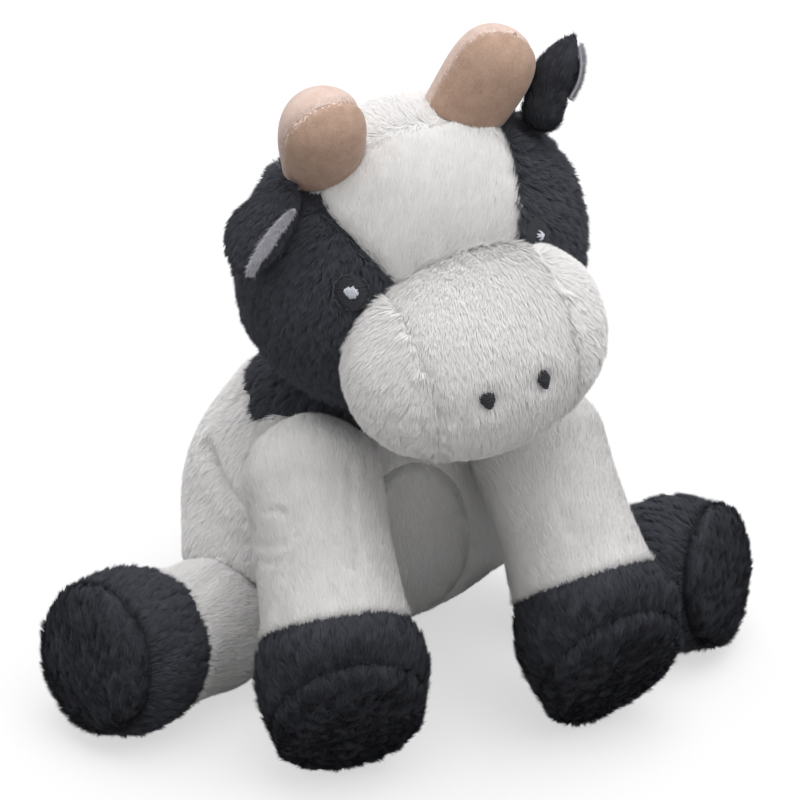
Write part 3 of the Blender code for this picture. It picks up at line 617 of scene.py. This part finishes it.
# Horns: blunt cones of short-napped suede cloth, each a front and a back panel with a seam over the top,
# stuffed hard and sewn down on the crown.
HORN_RADIUS = 0.0140
HORN_HEIGHT = 0.0283
HORN_OUTLINE_SHARES = ((-0.35, 0.90), (0.0, 0.96), (0.35, 1.0), (0.62, 0.97), (0.82, 0.80), (0.95, 0.45))
HORN_FLATNESS = 0.94
# each horn's foot in shares of the head's radii, and its lean outwards and forwards
HORNS = {"right": ((-0.42, -0.19, 0.886), radians(5), radians(36)),
         "left": ((0.44, -0.16, 0.883), radians(37), radians(17))}
SUEDE = 0.0012
HORN_STEP = 0.0009            # between the corners of a horn's skin
HORN_SEAM_DEPTH = 0.0010
HORN_SEAM_WIDTH = 0.0013
FLECK_WIDTH = 0.0016          # how far from the seam its pale fibres reach
SKIN_STEP = 0.0017

# Suede cloth, tan with a pink cast: a dry nap whose shade drifts over a few millimetres, and a grain of
# 0.5 mm, which is drawn coarser than the real nap so that it shows.
horn_suede, suede_tree, suede_shader = finish_named("napped_tan_suede", {
    "Roughness": 0.95, "Specular IOR Level": 0.2, "Sheen Weight": 0.25, "Sheen Roughness": 0.4})
suede_place = add(suede_tree, "ShaderNodeTexCoord").outputs["Object"]
suede_drift = add(suede_tree, "ShaderNodeTexNoise", {"Vector": suede_place, "Scale": 1 / 0.004, "Detail": 3.0})
suede_grain = add(suede_tree, "ShaderNodeTexNoise", {"Vector": suede_place, "Scale": 1 / 0.0005, "Detail": 2.0})
suede_mixed = add(suede_tree, MATH, (suede_drift, suede_grain), operation="ADD")
suede_share = add(suede_tree, "ShaderNodeMapRange", {"Value": suede_mixed, "From Min": 0.7, "From Max": 1.3})
# painted shade: the front panel, which faces down and forwards, is coloured darker and browner than the back panel
nap_up = add(suede_tree, "ShaderNodeAttribute", attribute_name="nap_up").outputs["Fac"]
suede_dark = add(suede_tree, "ShaderNodeMix", (nap_up, linear("b39582"), linear("e0c3b6")), data_type="RGBA")
suede_pale = add(suede_tree, "ShaderNodeMix", (nap_up, linear("cbab98"), linear("eed7cc")), data_type="RGBA")
suede_colour = add(suede_tree, "ShaderNodeMix", (suede_share, suede_dark, suede_pale), data_type="RGBA")
# pale fibres of the cloth's raw edges stand out of the seam in flecks of about 1 mm
seam_near = add(suede_tree, "ShaderNodeAttribute", attribute_name="seam").outputs["Fac"]
fleck = add(suede_tree, "ShaderNodeTexNoise", {"Vector": suede_place, "Scale": 1 / 0.0011, "Detail": 1.0})
fleck = add(suede_tree, "ShaderNodeMapRange", {"Value": fleck, "From Min": 0.50, "From Max": 0.62})
fleck = add(suede_tree, MATH, (fleck, seam_near), operation="MULTIPLY")
flecked = add(suede_tree, "ShaderNodeMix", (fleck, suede_colour, linear("f6e4da")), data_type="RGBA")
suede_bump = add(suede_tree, "ShaderNodeBump", {"Strength": 0.5, "Distance": 0.0003, "Height": suede_mixed})
put(suede_shader, {"Base Color": flecked, "Normal": suede_bump})


def round_foot(radius, count):
    """The outline of a round foot, from its middle to its full radius at height 0."""
    return [(radius * sin(turn), -radius * cos(turn)) for turn in np.linspace(0, pi / 2, count)]


def drawn_out(shares, radius, length, start=0.0):
    """An outline's points (radius, height) from shares of its height and its radius."""
    return [(radius * width, start + length * height) for height, width in shares]


def turned(profile, place, flatness=1.0, step=SKIN_STEP, bend=None):
    """A round form from points (radius, height), foot first, with its corners rounded off."""
    points = [Vector(point) for point in profile]
    for _ in range(2):
        finer = [points[0]]
        for a, b in zip(points, points[1:]):
            finer += [a.lerp(b, 0.25), a.lerp(b, 0.75)]
        points = finer + [points[-1]]
    runs = np.concatenate([[0], np.cumsum([(b - a).length for a, b in zip(points, points[1:])])])
    rings = ceil(runs[-1] / step)
    at = np.linspace(0, runs[-1], rings + 1)
    radii = np.interp(at, runs, [point[0] for point in points])
    heights = np.interp(at, runs, [point[1] for point in points])
    sides = ceil(2 * pi * max(radii) / step)
    shape = bmesh.new()
    foot = shape.verts.new((0, 0, heights[0]))
    head = shape.verts.new((0, 0, heights[-1]))
    loops = [[shape.verts.new((r * cos(2 * pi * i / sides), r * sin(2 * pi * i / sides) * flatness, h))
              for i in range(sides)] for r, h in zip(radii[1:-1], heights[1:-1])]
    for i in range(sides):
        j = (i + 1) % sides
        shape.faces.new((foot, loops[0][j], loops[0][i]))
        shape.faces.new((head, loops[-1][i], loops[-1][j]))
        for low, high in zip(loops, loops[1:]):
            shape.faces.new((low[i], low[j], high[j], high[i]))
    for corner in shape.verts:
        if bend:
            corner.co = bend(corner.co)
        corner.co = place @ corner.co
    shape.normal_update()
    return shape


def horn_frame(side):
    shares, out, forward = HORNS[side]
    base = on_ball(HEAD_RADII, shares, Matrix.Identity(4)).translation
    turn = Matrix.Rotation(SIGNS[side] * out, 4, "Y") @ Matrix.Rotation(forward, 4, "X")
    return HEAD_AT @ Matrix.Translation(base) @ turn


for side in SIGNS:
    outline = [(0, HORN_HEIGHT * HORN_OUTLINE_SHARES[0][0])]
    outline += drawn_out(HORN_OUTLINE_SHARES, HORN_RADIUS, HORN_HEIGHT)
    outline += [(0, HORN_HEIGHT)]
    form = turned(outline, horn_frame(side), HORN_FLATNESS, step=HORN_STEP)
    owners = nearest_nodes(form, [f"horn_{side}_front", f"horn_{side}_back"], reach=0.0012)
    sew(form, owners, lump=0.0005, depth=HORN_SEAM_DEPTH, width=HORN_SEAM_WIDTH, under=0)
    to_horn = horn_frame(side).inverted()
    for face in ("front", "back"):
        name = f"horn_{side}_{face}"
        kept = [f for f, owner in owners.items() if owner == name]
        panel = cloth_piece(name + "_suede", form, kept, thickness=SUEDE)
        near = [exp(-((to_horn @ corner.co).y / FLECK_WIDTH) ** 2) for corner in panel.data.vertices]
        # painted shade: 1 on the back panel, 0 on the front panel, whose colours are painted darker
        lit_back_flags = [1.0 if face == "back" else 0.0] * len(near)
        for title, values in (("seam", near), ("nap_up", lit_back_flags)):
            panel.data.attributes.new(title, "FLOAT", "POINT").data.foreach_set("value", values)
        panel.data.materials.append(horn_suede)
        declare(panel, name, "head")
    form.free()


# Ears: flat leaves of black plush with a strip of pale short pile sewn along one rim of the inner face.
# The right one droops and the left one stands.
EAR_ROOT = 0.0062
EAR_LENGTH = 0.0275
EAR_FLATNESS = 0.48
EAR_OUTLINE_SHARES = ((0.25, 1.30), (0.52, 1.55), (0.76, 1.25), (0.93, 0.66))
# each ear's root, its twist and its angle, and its fullness away from the strip of lining: towards X, towards Y
# at the foot, and below the strip at the foot
EARS = {"right": ((-0.0504, -0.0589, 0.1917), radians(38), radians(131), (1.35, 1.0, 1.0)),
        "left": ((0.0370, -0.0538, 0.2078), radians(-95), radians(35), (1.1, 2.6, 2.2))}
LINING_RISE = 0.0014
EAR_PILE = {**BLACK_PILE, "Length": 0.0026, "Stray": 0.30, "Clump stray": 0.30}
LINING_PILE = {**WHITE_PILE, "Length": 0.0018, "Lean": 1.2, "Stray": 0.9, "Width": 0.0003, "Density": 16e6,
               "Clump size": 0.0012, "Clump tilt": 0.25}
# where the strip of lining ends: on the right ear across it, on the left one along it in shares of its length
LINING_ASIDE = -0.0056
LINING_FROM = 0.30
LOW_SHARE = 0.35              # the foot's share of an ear's length, and of its fullness on the strip's side
# Short grey-white pile with a lilac cast.
pile_finishes["ear_lining"] = pile_finish("short_grey_pile", "b9b8c0", "d9d9e1", "c3c3cb")

for side, sign in SIGNS.items():
    ear_root, twist, angle, fullness = EARS[side]
    flop = Matrix.Rotation(sign * angle, 4, "Y") @ Matrix.Rotation(-sign * twist, 4, "Z")
    ear_at = Matrix.Translation(ear_root) @ HEAD_AT.to_3x3().to_4x4() @ flop
    outline = round_foot(EAR_ROOT, 6)
    outline += drawn_out(EAR_OUTLINE_SHARES, EAR_ROOT, EAR_LENGTH)
    outline += [(0, EAR_LENGTH)]
    along_ear = ear_at.to_3x3() @ Vector((0, 0, 1))

    def fuller(corner, fullness=fullness):
        """The ear is fuller than its leaf away from the strip and at its foot."""
        foot = clamped(1 - corner.z / EAR_LENGTH)
        low = clamped(1 - corner.z / (EAR_LENGTH * LOW_SHARE))
        deep = 1 + ((fullness[1] - 1) * foot if corner.y > 0 else (fullness[2] - 1) * low)
        wide = fullness[0] if corner.x > 0 else 1 + (fullness[2] - 1) * LOW_SHARE * low
        return Vector((corner.x * wide, corner.y * deep, corner.z))

    def strip_shown(place, name, side=side, to_ear=ear_at.inverted()):
        """The strip without what the black pile covers."""
        spot = to_ear @ place
        shown = spot.x > LINING_ASIDE if side == "right" else spot.z > EAR_LENGTH * LINING_FROM
        return name if shown else None

    sew_panels(turned(outline, ear_at, EAR_FLATNESS, step=0.0012, bend=fuller),
               {f"ear_{side}": ("black_plush", EAR_PILE, along_ear)}, f"{side}_ear", lump=0.0002,
               reach=0.012, under=0.0013, thickness=0.0012)
    grown = [(radius + LINING_RISE if radius else 0, height) for radius, height in outline]
    sew_panels(turned(grown, ear_at, EAR_FLATNESS + LINING_RISE / EAR_ROOT / 2, step=0.0007),
               {f"ear_{side}_lining": ("ear_lining", LINING_PILE, along_ear)}, f"{side}_ear",
               lump=0.0002, reach=0.0005, under=0.0004, thickness=0.0009, redrawn=strip_shown)


# Face: eyes and nostrils embroidered in satin stitch through the pile, black with a bluish-white glint,
# and a ring of small backstitches round the right eye.
THREAD = 0.00042

# Rayon thread: smooth and faintly glossy, so each stitch catches its own line of light.
threads = {}
# the grey thread is painted sheen: a lighter grey that stands in for the gloss on the eye ring's stitches
for slot, colour, shine in (("black_thread", "3a3b42", 0.55), ("white_thread", "dfe2ea", 0.50),
                            ("grey_thread", "585a62", 0.55)):
    threads[slot], thread_tree, thread_shader = finish_named("rayon_" + slot, {
        "Base Color": linear(colour), "Roughness": shine, "Specular IOR Level": 0.4})
    thread_place = add(thread_tree, "ShaderNodeTexCoord").outputs["Object"]
    thread_fuzz = add(thread_tree, "ShaderNodeTexNoise", {"Vector": thread_place, "Scale": 1 / 0.0002})
    thread_bump = add(thread_tree, "ShaderNodeBump", {"Strength": 0.3, "Distance": 0.00005, "Height": thread_fuzz})
    put(thread_shader, {"Normal": thread_bump})

# The stitches' tree lays parallel threads across a round outline. Each rises over a dome and dives into
# the cloth at both ends. A ring of backstitches goes round where it is asked for, with some left out.
SATIN_THICKNESS, RING_THICKNESS = 0.56, 0.30    # half a thread's thickness, in shares of its spacing
RING_LEFT_OUT = 0.45
RING_STITCHES = 40
satin_tree, asked, satin_keys = new_tree(
    "satin_stitch", Float=("Radius", "Thread", "Rise", "Dive", "Uneven"), Bool=("Ring",), Int=("Seed",),
    Material=("Finish", "Ring finish"))
ends = add(satin_tree, "GeometryNodeInputMeshEdgeVertices").outputs
run = add(satin_tree, VECTOR_MATH, (ends["Position 1"], ends["Position 2"]), operation="SUBTRACT")
run = add(satin_tree, "ShaderNodeSeparateXYZ", (run,)).outputs
spot = add(satin_tree, "ShaderNodeSeparateXYZ", (add(satin_tree, "GeometryNodeInputPosition"),)).outputs
worked = dict(asked.items())
worked.update({"run": run["Y"], "along": spot["X"], "across": spot["Y"],
               "ring": add(satin_tree, "GeometryNodeSplineParameter").outputs["Factor"]})
work_out(satin_tree, MATH, worked, (
    ("width", "MULTIPLY", "Radius", 2.0), ("rows", "DIVIDE", "width", "Thread"), ("rows", "CEIL", "rows"),
    ("run", "ABSOLUTE", "run"), ("slack", "MULTIPLY", "Thread", 0.1), ("level", "LESS_THAN", "run", "slack"),
    ("row", "ADD", "across", "Radius"), ("row", "DIVIDE", "row", "Thread"), ("row", "ROUND", "row")))
for number, chance in enumerate(("longer", "aside", "higher")):
    seed = add(satin_tree, MATH, (asked["Seed"], number), operation="ADD")
    worked[chance] = add(satin_tree, "FunctionNodeRandomValue",
                         {2: -1.0, 3: 1.0, "ID": worked["row"], "Seed": seed}, data_type="FLOAT")
work_out(satin_tree, MATH, worked, (
    ("round", "POWER", "Radius", 2.0), ("room", "POWER", "across", 2.0), ("room", "SUBTRACT", "round", "room"),
    ("least", "MULTIPLY", "round", 0.08), ("room", "MAXIMUM", "room", "least"), ("chord", "SQRT", "room"),
    ("longer", "MULTIPLY", "longer", "Uneven"), ("longer", "ADD", 1.0, "longer"),
    ("chord", "MULTIPLY", "chord", "longer"), ("aside", "MULTIPLY", "aside", "Uneven"),
    ("play", "MULTIPLY", "Radius", 0.3), ("aside", "MULTIPLY", "aside", "play"),
    ("steep", "ABSOLUTE", "along"), ("steep", "POWER", "steep", 5.0), ("flat", "SUBTRACT", 1.0, "steep"),
    ("dome", "DIVIDE", "across", "Radius"), ("dome", "POWER", "dome", 2.0), ("dome", "MULTIPLY", 0.5, "dome"),
    ("dome", "SUBTRACT", 1.0, "dome"), ("height", "MULTIPLY", "Rise", "dome"),
    ("height", "MULTIPLY", "height", "flat"), ("dive", "MULTIPLY", "Dive", "steep"),
    ("height", "SUBTRACT", "height", "dive"), ("play", "MULTIPLY", "Thread", 0.25),
    ("higher", "MULTIPLY", "higher", "play"), ("height", "ADD", "height", "higher"),
    ("along", "MULTIPLY", "along", "chord"), ("along", "ADD", "along", "aside"),
    ("ring", "MULTIPLY", "ring", 2.0), ("ring", "SUBTRACT", "ring", 1.0), ("ring", "ABSOLUTE", "ring"),
    ("ring", "POWER", "ring", 3.0), ("ring", "MULTIPLY", "ring", 0.0004), ("lift", "MULTIPLY", "Rise", 0.6),
    ("lift", "SUBTRACT", "lift", "ring")))
grid = add(satin_tree, "GeometryNodeMeshGrid", {"Size X": 2.0, "Size Y": worked["width"], "Vertices X": 11,
                                                "Vertices Y": worked["rows"]})
rows = add(satin_tree, "GeometryNodeMeshToCurve", {"Mesh": grid, "Selection": worked["level"]})
laid = add(satin_tree, "ShaderNodeCombineXYZ", (worked["along"], worked["across"], worked["height"]))
rows = add(satin_tree, "GeometryNodeSetPosition", {"Geometry": rows, "Position": laid})
ring = add(satin_tree, "GeometryNodeMeshCircle", {"Vertices": RING_STITCHES, "Radius": asked["Radius"]})
ring = add(satin_tree, "GeometryNodeSplitEdges", (ring,))
ring = add(satin_tree, "GeometryNodeMeshToCurve", (ring,))
ring = add(satin_tree, "GeometryNodeResampleCurve", {"Curve": ring, "Count": 6})
lifted = add(satin_tree, "ShaderNodeCombineXYZ", {"Z": worked["lift"]})
ring = add(satin_tree, "GeometryNodeSetPosition", {"Geometry": ring, "Offset": lifted})
gone = add(satin_tree, "FunctionNodeRandomValue", {"Probability": RING_LEFT_OUT, "Seed": asked["Seed"]},
           data_type="BOOLEAN")
ring = add(satin_tree, "GeometryNodeDeleteGeometry", {"Geometry": ring, "Selection": gone}, domain="CURVE")
ring = add(satin_tree, "GeometryNodeSwitch", {"Switch": asked["Ring"], "True": ring}, input_type="GEOMETRY")
sewn = add(satin_tree, "GeometryNodeJoinGeometry")
for lines, share, cloth in ((rows, SATIN_THICKNESS, "Finish"), (ring, RING_THICKNESS, "Ring finish")):
    thick = add(satin_tree, MATH, (asked["Thread"], share), operation="MULTIPLY")
    thick = add(satin_tree, "GeometryNodeCurvePrimitiveCircle", {"Resolution": 6, "Radius": thick})
    part = add(satin_tree, "GeometryNodeCurveToMesh", {"Curve": lines, "Profile Curve": thick, "Fill Caps": True})
    for kind in ("GeometryNodeSetShadeSmooth", "GeometryNodeRealizeInstances"):
        part = add(satin_tree, kind, (part,))
    put(sewn, (add(satin_tree, "GeometryNodeSetMaterial", {"Geometry": part, "Material": asked[cloth]}),))
add(satin_tree, "NodeGroupOutput", (sewn,))


def embroider(node, place, slot, **sizes):
    """Satin stitch in place of one of the CAD's discs."""
    patch = new_object(node + "_stitches", bpy.data.meshes.new(node))
    run_tree(patch, satin_tree, satin_keys, {"Thread": THREAD, "Dive": 0.0018, "Ring": False, **sizes,
                                             "Seed": sum(node.encode()), "Finish": threads[slot],
                                             "Ring finish": threads["grey_thread"]})
    patch.data.transform(place)
    declare(patch, node, "head")


GLINT_SIZES = {"right": (0.0021, 0.24), "left": (0.0011, 0.60)}    # radius and unevenness
GLINT_RISE = 0.0011           # over the eye's middle
GLINT_TURN = 1.2
EYE_RISE = {"right": 0.0009, "left": 0.0003}    # the left eye lies deeper in the pile
NOSTRIL_SHAPES = {"right": (1.0, 1.1, 1.0, 1.0), "left": (0.75, 1.25, 1.0, 1.0)}
for side in SIGNS:
    embroider("eye_" + side, eyes_at[side], "black_thread", Radius=EYE_RADIUS * 0.96, Rise=EYE_RISE[side],
              Uneven=0.04, Ring=side == "right")
    glint_at = eyes_at[side] @ Matrix.Translation((0, 0, GLINT_RISE)) @ Matrix.Rotation(GLINT_TURN, 4, "Z")
    glint_size, glint_wander = GLINT_SIZES[side]
    embroider("eye_glint_" + side, glint_at, "white_thread", Radius=glint_size, Rise=0.0006, Dive=0.0008,
              Uneven=glint_wander)
    embroider("nostril_" + side, nostrils_at[side] @ Matrix.Diagonal(NOSTRIL_SHAPES[side]), "black_thread",
              Radius=NOSTRIL_RADIUS, Rise=0.0002, Uneven=0.20)


# Legs: each a white sleeve with a round root in the body's dish, a black hoof cuff that widens, and a
# round black sole that the filling crowns.

# each leg's sleeve length, pitch and splay
LEGS = {("front", "right"): (0.0484, radians(51.5), radians(5)),
        ("front", "left"): (0.0484, radians(51.5), radians(9)),
        ("hind", "right"): (0.0225, radians(-10.0), radians(64)),
        ("hind", "left"): (0.0265, radians(-8.96), radians(44))}
# the root and radius of each end's legs, its soles' turn upwards, and how much fuller its thighs are on top
LEG_ENDS = {"front": (*SHOULDER[:2], radians(22), 0.0), "hind": (*HIP[:2], 0.0, 0.0030)}
THIGH_AT = 0.006              # along the leg from its root
THIGH_SPREAD = 0.010
HOOF_LENGTH = 0.028
# outlines: heights in shares of the part's length, widths in shares of its radius
TUBE_SHARES = ((0.5, 0.97), (1.0, 1.05))
HOOF_SHARES = ((0.25, 1.18), (0.62, 1.25), (1.0, 1.12))
SOLE_SHARES = ((0.30, 0.98), (0.75, 0.70), (0.95, 0.36), (1.0, 0.0))
SOLE_CROWN = 0.0075
SOLE_START = 0.0033
HOOF_PILE = {**BLACK_PILE, "Length": 0.0032, "Stray": 0.45}
# the folds that the photograph shows on the right legs, and the front sleeves' seam: depth, width, points
LEG_FOLDS = {
    "front_leg_right": (
        (0.0006, 0.0016, ((-0.0330, -0.0692, 0.1005), (-0.0336, -0.0726, 0.0960), (-0.0359, -0.0772, 0.0903),
                          (-0.0375, -0.0817, 0.0844), (-0.0367, -0.0844, 0.0810), (-0.0381, -0.0910, 0.0740))),
        (0.0006, 0.0011, ((-0.0621, -0.0639, 0.0863), (-0.0591, -0.0686, 0.0888), (-0.0567, -0.0715, 0.0887))),
        (0.0006, 0.0011, ((-0.0640, -0.0650, 0.0755), (-0.0616, -0.0724, 0.0777), (-0.0584, -0.0764, 0.0805))),
        (0.0005, 0.0011, ((-0.0646, -0.0663, 0.0700), (-0.0630, -0.0744, 0.0727), (-0.0601, -0.0783, 0.0760))),
    ),
    "hind_leg_right": (
        (0.0010, 0.0024, ((-0.0560, -0.0150, 0.0420), (-0.0612, -0.0179, 0.0430), (-0.0681, -0.0255, 0.0443),
                          (-0.0766, -0.0334, 0.0461))),
    ),
    "front_leg_left": (
        (0.0005, 0.0018, ((0.0345, -0.0844, 0.0810), (0.0350, -0.0880, 0.0775), (0.0362, -0.0915, 0.0735))),
    ),
}


def facing(direction, up=(0, 0, 1)):
    """A turn that sets Z along the direction, with X level."""
    z_axis = Vector(direction).normalized()
    x_axis = Vector(up).cross(z_axis).normalized()
    return Matrix((x_axis, z_axis.cross(x_axis), z_axis)).transposed().to_4x4()


ROOT_HIDDEN = 0.93            # a leg's root needs no pile this deep in the body, in shares of its radii


def in_body(place):
    """True inside the body's skin, where a leg's root is hidden."""
    spot = BODY_AT.inverted() @ place
    narrow = 1 - BODY_TAPER * spot.z / BODY_RADII[2]
    return hypot(spot.x / (BODY_RADII[0] * narrow), spot.y / (BODY_RADII[1] * narrow),
                 spot.z / BODY_RADII[2]) < ROOT_HIDDEN


for (end, side), (tube, pitch, splay) in LEGS.items():
    sign = SIGNS[side]
    (x, y, z), radius, tilt, thigh = LEG_ENDS[end]
    direction = Vector((sign * sin(splay) * cos(pitch), -cos(splay) * cos(pitch), -sin(pitch)))
    leg_at = Matrix.Translation((sign * x, y, z)) @ facing(direction)
    outline = round_foot(radius, 10)
    outline += drawn_out(TUBE_SHARES, radius, tube) + drawn_out(HOOF_SHARES, radius, HOOF_LENGTH, tube)
    rim = radius * HOOF_SHARES[-1][1]
    outline += drawn_out(SOLE_SHARES, rim, SOLE_CROWN, tube + HOOF_LENGTH + SOLE_START)

    def slant(corner, radius=radius, tube=tube, tilt=tilt, thigh=thigh):
        """A sole that turns up, and a full thigh."""
        past = clamped((corner.z - tube) / HOOF_LENGTH)
        full = thigh * max(0, corner.y / radius) * exp(-((corner.z - THIGH_AT) / THIGH_SPREAD) ** 2)
        return Vector((corner.x, corner.y + full, corner.z - corner.y * tan(tilt) * past))

    name = f"{end}_leg_{side}"
    sew_panels(turned(outline, leg_at, bend=slant), {
        name + "_sleeve": ("white_plush", WHITE_PILE, -direction),
        name + "_hoof": ("black_plush", HOOF_PILE, -direction + Vector((0, 0, 0.3))),
        name + "_sole": ("black_plush", HOOF_PILE, (0, 0, 1)),
    }, f"{end}_{side}_leg", reach=0.0035, hidden=in_body, seam=0.0003, folds=LEG_FOLDS.get(name, ()))


# Tail: a thin white tube of pile fabric, sewn in at the back, with a tuft of long black pile.
TAIL_RADIUS = 0.0060
TAIL_LENGTH = 0.040
TAIL_PITCH = radians(48)
TUFT_RADII = (0.0095, 0.0095, 0.015)
TUFT_PILE = {**BLACK_PILE, "Length": 0.0075, "Lean": 1.5, "Clump stray": 0.7, "Clump size": 0.004}
tail_direction = Vector((0, cos(TAIL_PITCH), -sin(TAIL_PITCH)))
tail_at = Matrix.Translation((0, 0.0731, 0.0707)) @ facing(tail_direction, up=(1, 0, 0))
outline = round_foot(TAIL_RADIUS, 6)
outline += [(TAIL_RADIUS, TAIL_LENGTH / 2), (TAIL_RADIUS, TAIL_LENGTH), (0, TAIL_LENGTH)]
sew_panels(turned(outline, tail_at), {"tail": ("white_plush", WHITE_PILE, tail_direction)},
           "tail_with_tuft", lump=0.0003, hidden=in_body, thickness=0.0015)
tuft_at = tail_at @ Matrix.Translation((0, 0, TAIL_LENGTH + TUFT_RADII[2] / 2))
sew_panels(ball(TUFT_RADII, tuft_at, detail=4), {"tail_tuft": ("black_plush", TUFT_PILE, tail_direction)},
           "tail_with_tuft", under=0.0025, thickness=0.0015)


# Filling: loose polyester fibre, pushed into the head, the body, the legs and the horns, where it lies in
# soft lumps. The body also holds a cotton pouch of beans.
FIBRE_SHRINK = 0.0011
FIBRE_LUMP = 0.0007
FIBRE_LUMP_SIZE = 0.007
BEAN_LUMP = 0.0011
BEAN_SIZE = 0.0055
MASS_CLEARANCE = 0.0005       # over the floor
FIBRE_VOXEL, HORN_VOXEL, POUCH_VOXEL = 0.0028, 0.0015, 0.0016    # the masses' grain

# White polyester fibre: dull, with a web of brighter and greyer strands of about 1 mm.
fibre, fibre_tree, fibre_shader = finish_named("loose_polyester_fibre", {"Roughness": 1.0,
                                                                         "Specular IOR Level": 0.1})
fibre_place = add(fibre_tree, "ShaderNodeTexCoord").outputs["Object"]
strands = add(fibre_tree, "ShaderNodeTexNoise", {"Vector": fibre_place, "Scale": 1 / 0.001, "Detail": 4.0,
                                                 "Distortion": 2.0})
strand_colour = add(fibre_tree, "ShaderNodeMix", (strands, linear("dcdcd8"), linear("fbfbf8")), data_type="RGBA")
strand_bump = add(fibre_tree, "ShaderNodeBump", {"Strength": 0.7, "Distance": 0.0006, "Height": strands})
put(fibre_shader, {"Base Color": strand_colour, "Normal": strand_bump})

# Unbleached cotton in plain weave: threads 0.6 mm apart both ways, drawn coarser than the real cloth.
cotton, cotton_tree, cotton_shader = finish_named("plain_woven_cotton", {"Roughness": 0.9})
cotton_place = add(cotton_tree, "ShaderNodeTexCoord").outputs["Object"]
weave = [add(cotton_tree, "ShaderNodeTexWave", {"Vector": cotton_place, "Scale": 1 / 0.0006 / 20,
                                                "Distortion": 0.4}, bands_direction=way).outputs["Fac"]
         for way in ("X", "Z")]
woven = add(cotton_tree, MATH, weave, operation="MULTIPLY")
cotton_colour = add(cotton_tree, "ShaderNodeMix", (woven, linear("c3bca8"), linear("ded8c8")), data_type="RGBA")
cotton_bump = add(cotton_tree, "ShaderNodeBump", {"Strength": 0.5, "Distance": 0.0002, "Height": woven})
put(cotton_shader, {"Base Color": cotton_colour, "Normal": cotton_bump})


def stuffing(node, body, finish, voxel, push):
    """A soft mass in place of one of the CAD's cores: evened out and pushed in or out by the corner."""
    shape = bmesh.new()
    shape.from_mesh(frame["nodes"][node].data)
    bmesh.ops.remove_doubles(shape, verts=shape.verts, dist=0.00001)
    mesh = bpy.data.meshes.new(node + "_mass")
    shape.to_mesh(mesh)
    shape.free()
    mass = new_object(node + "_mass", mesh)
    even = mass.modifiers.new("even", "REMESH")
    even.mode = "VOXEL"
    even.voxel_size = voxel
    bake_modifier(mass)
    moves = [corner.normal * push(corner.co) for corner in mass.data.vertices]
    for corner, move in zip(mass.data.vertices, moves):
        corner.co += move
        corner.co.z = max(corner.co.z, MASS_CLEARANCE)
    mass.data.shade_smooth()
    mass.data.materials.clear()
    mass.data.materials.append(finish)
    declare(mass, node, body)


def fibre_push(place):
    return FIBRE_LUMP * noise.noise(place / FIBRE_LUMP_SIZE) - FIBRE_SHRINK


def bean_push(place):
    return BEAN_LUMP * (0.5 - noise.voronoi(place / BEAN_SIZE)[0][0]) - BEAN_LUMP


for body, nodes in frame["record"]["behaviour"]["bodies"].items():
    for node in nodes:
        if node.endswith("_filling"):
            voxel = HORN_VOXEL if "horn" in node else FIBRE_VOXEL
            stuffing(node, body, fibre, voxel, fibre_push)
stuffing("bean_pouch", "body", cotton, POUCH_VOXEL, bean_push)
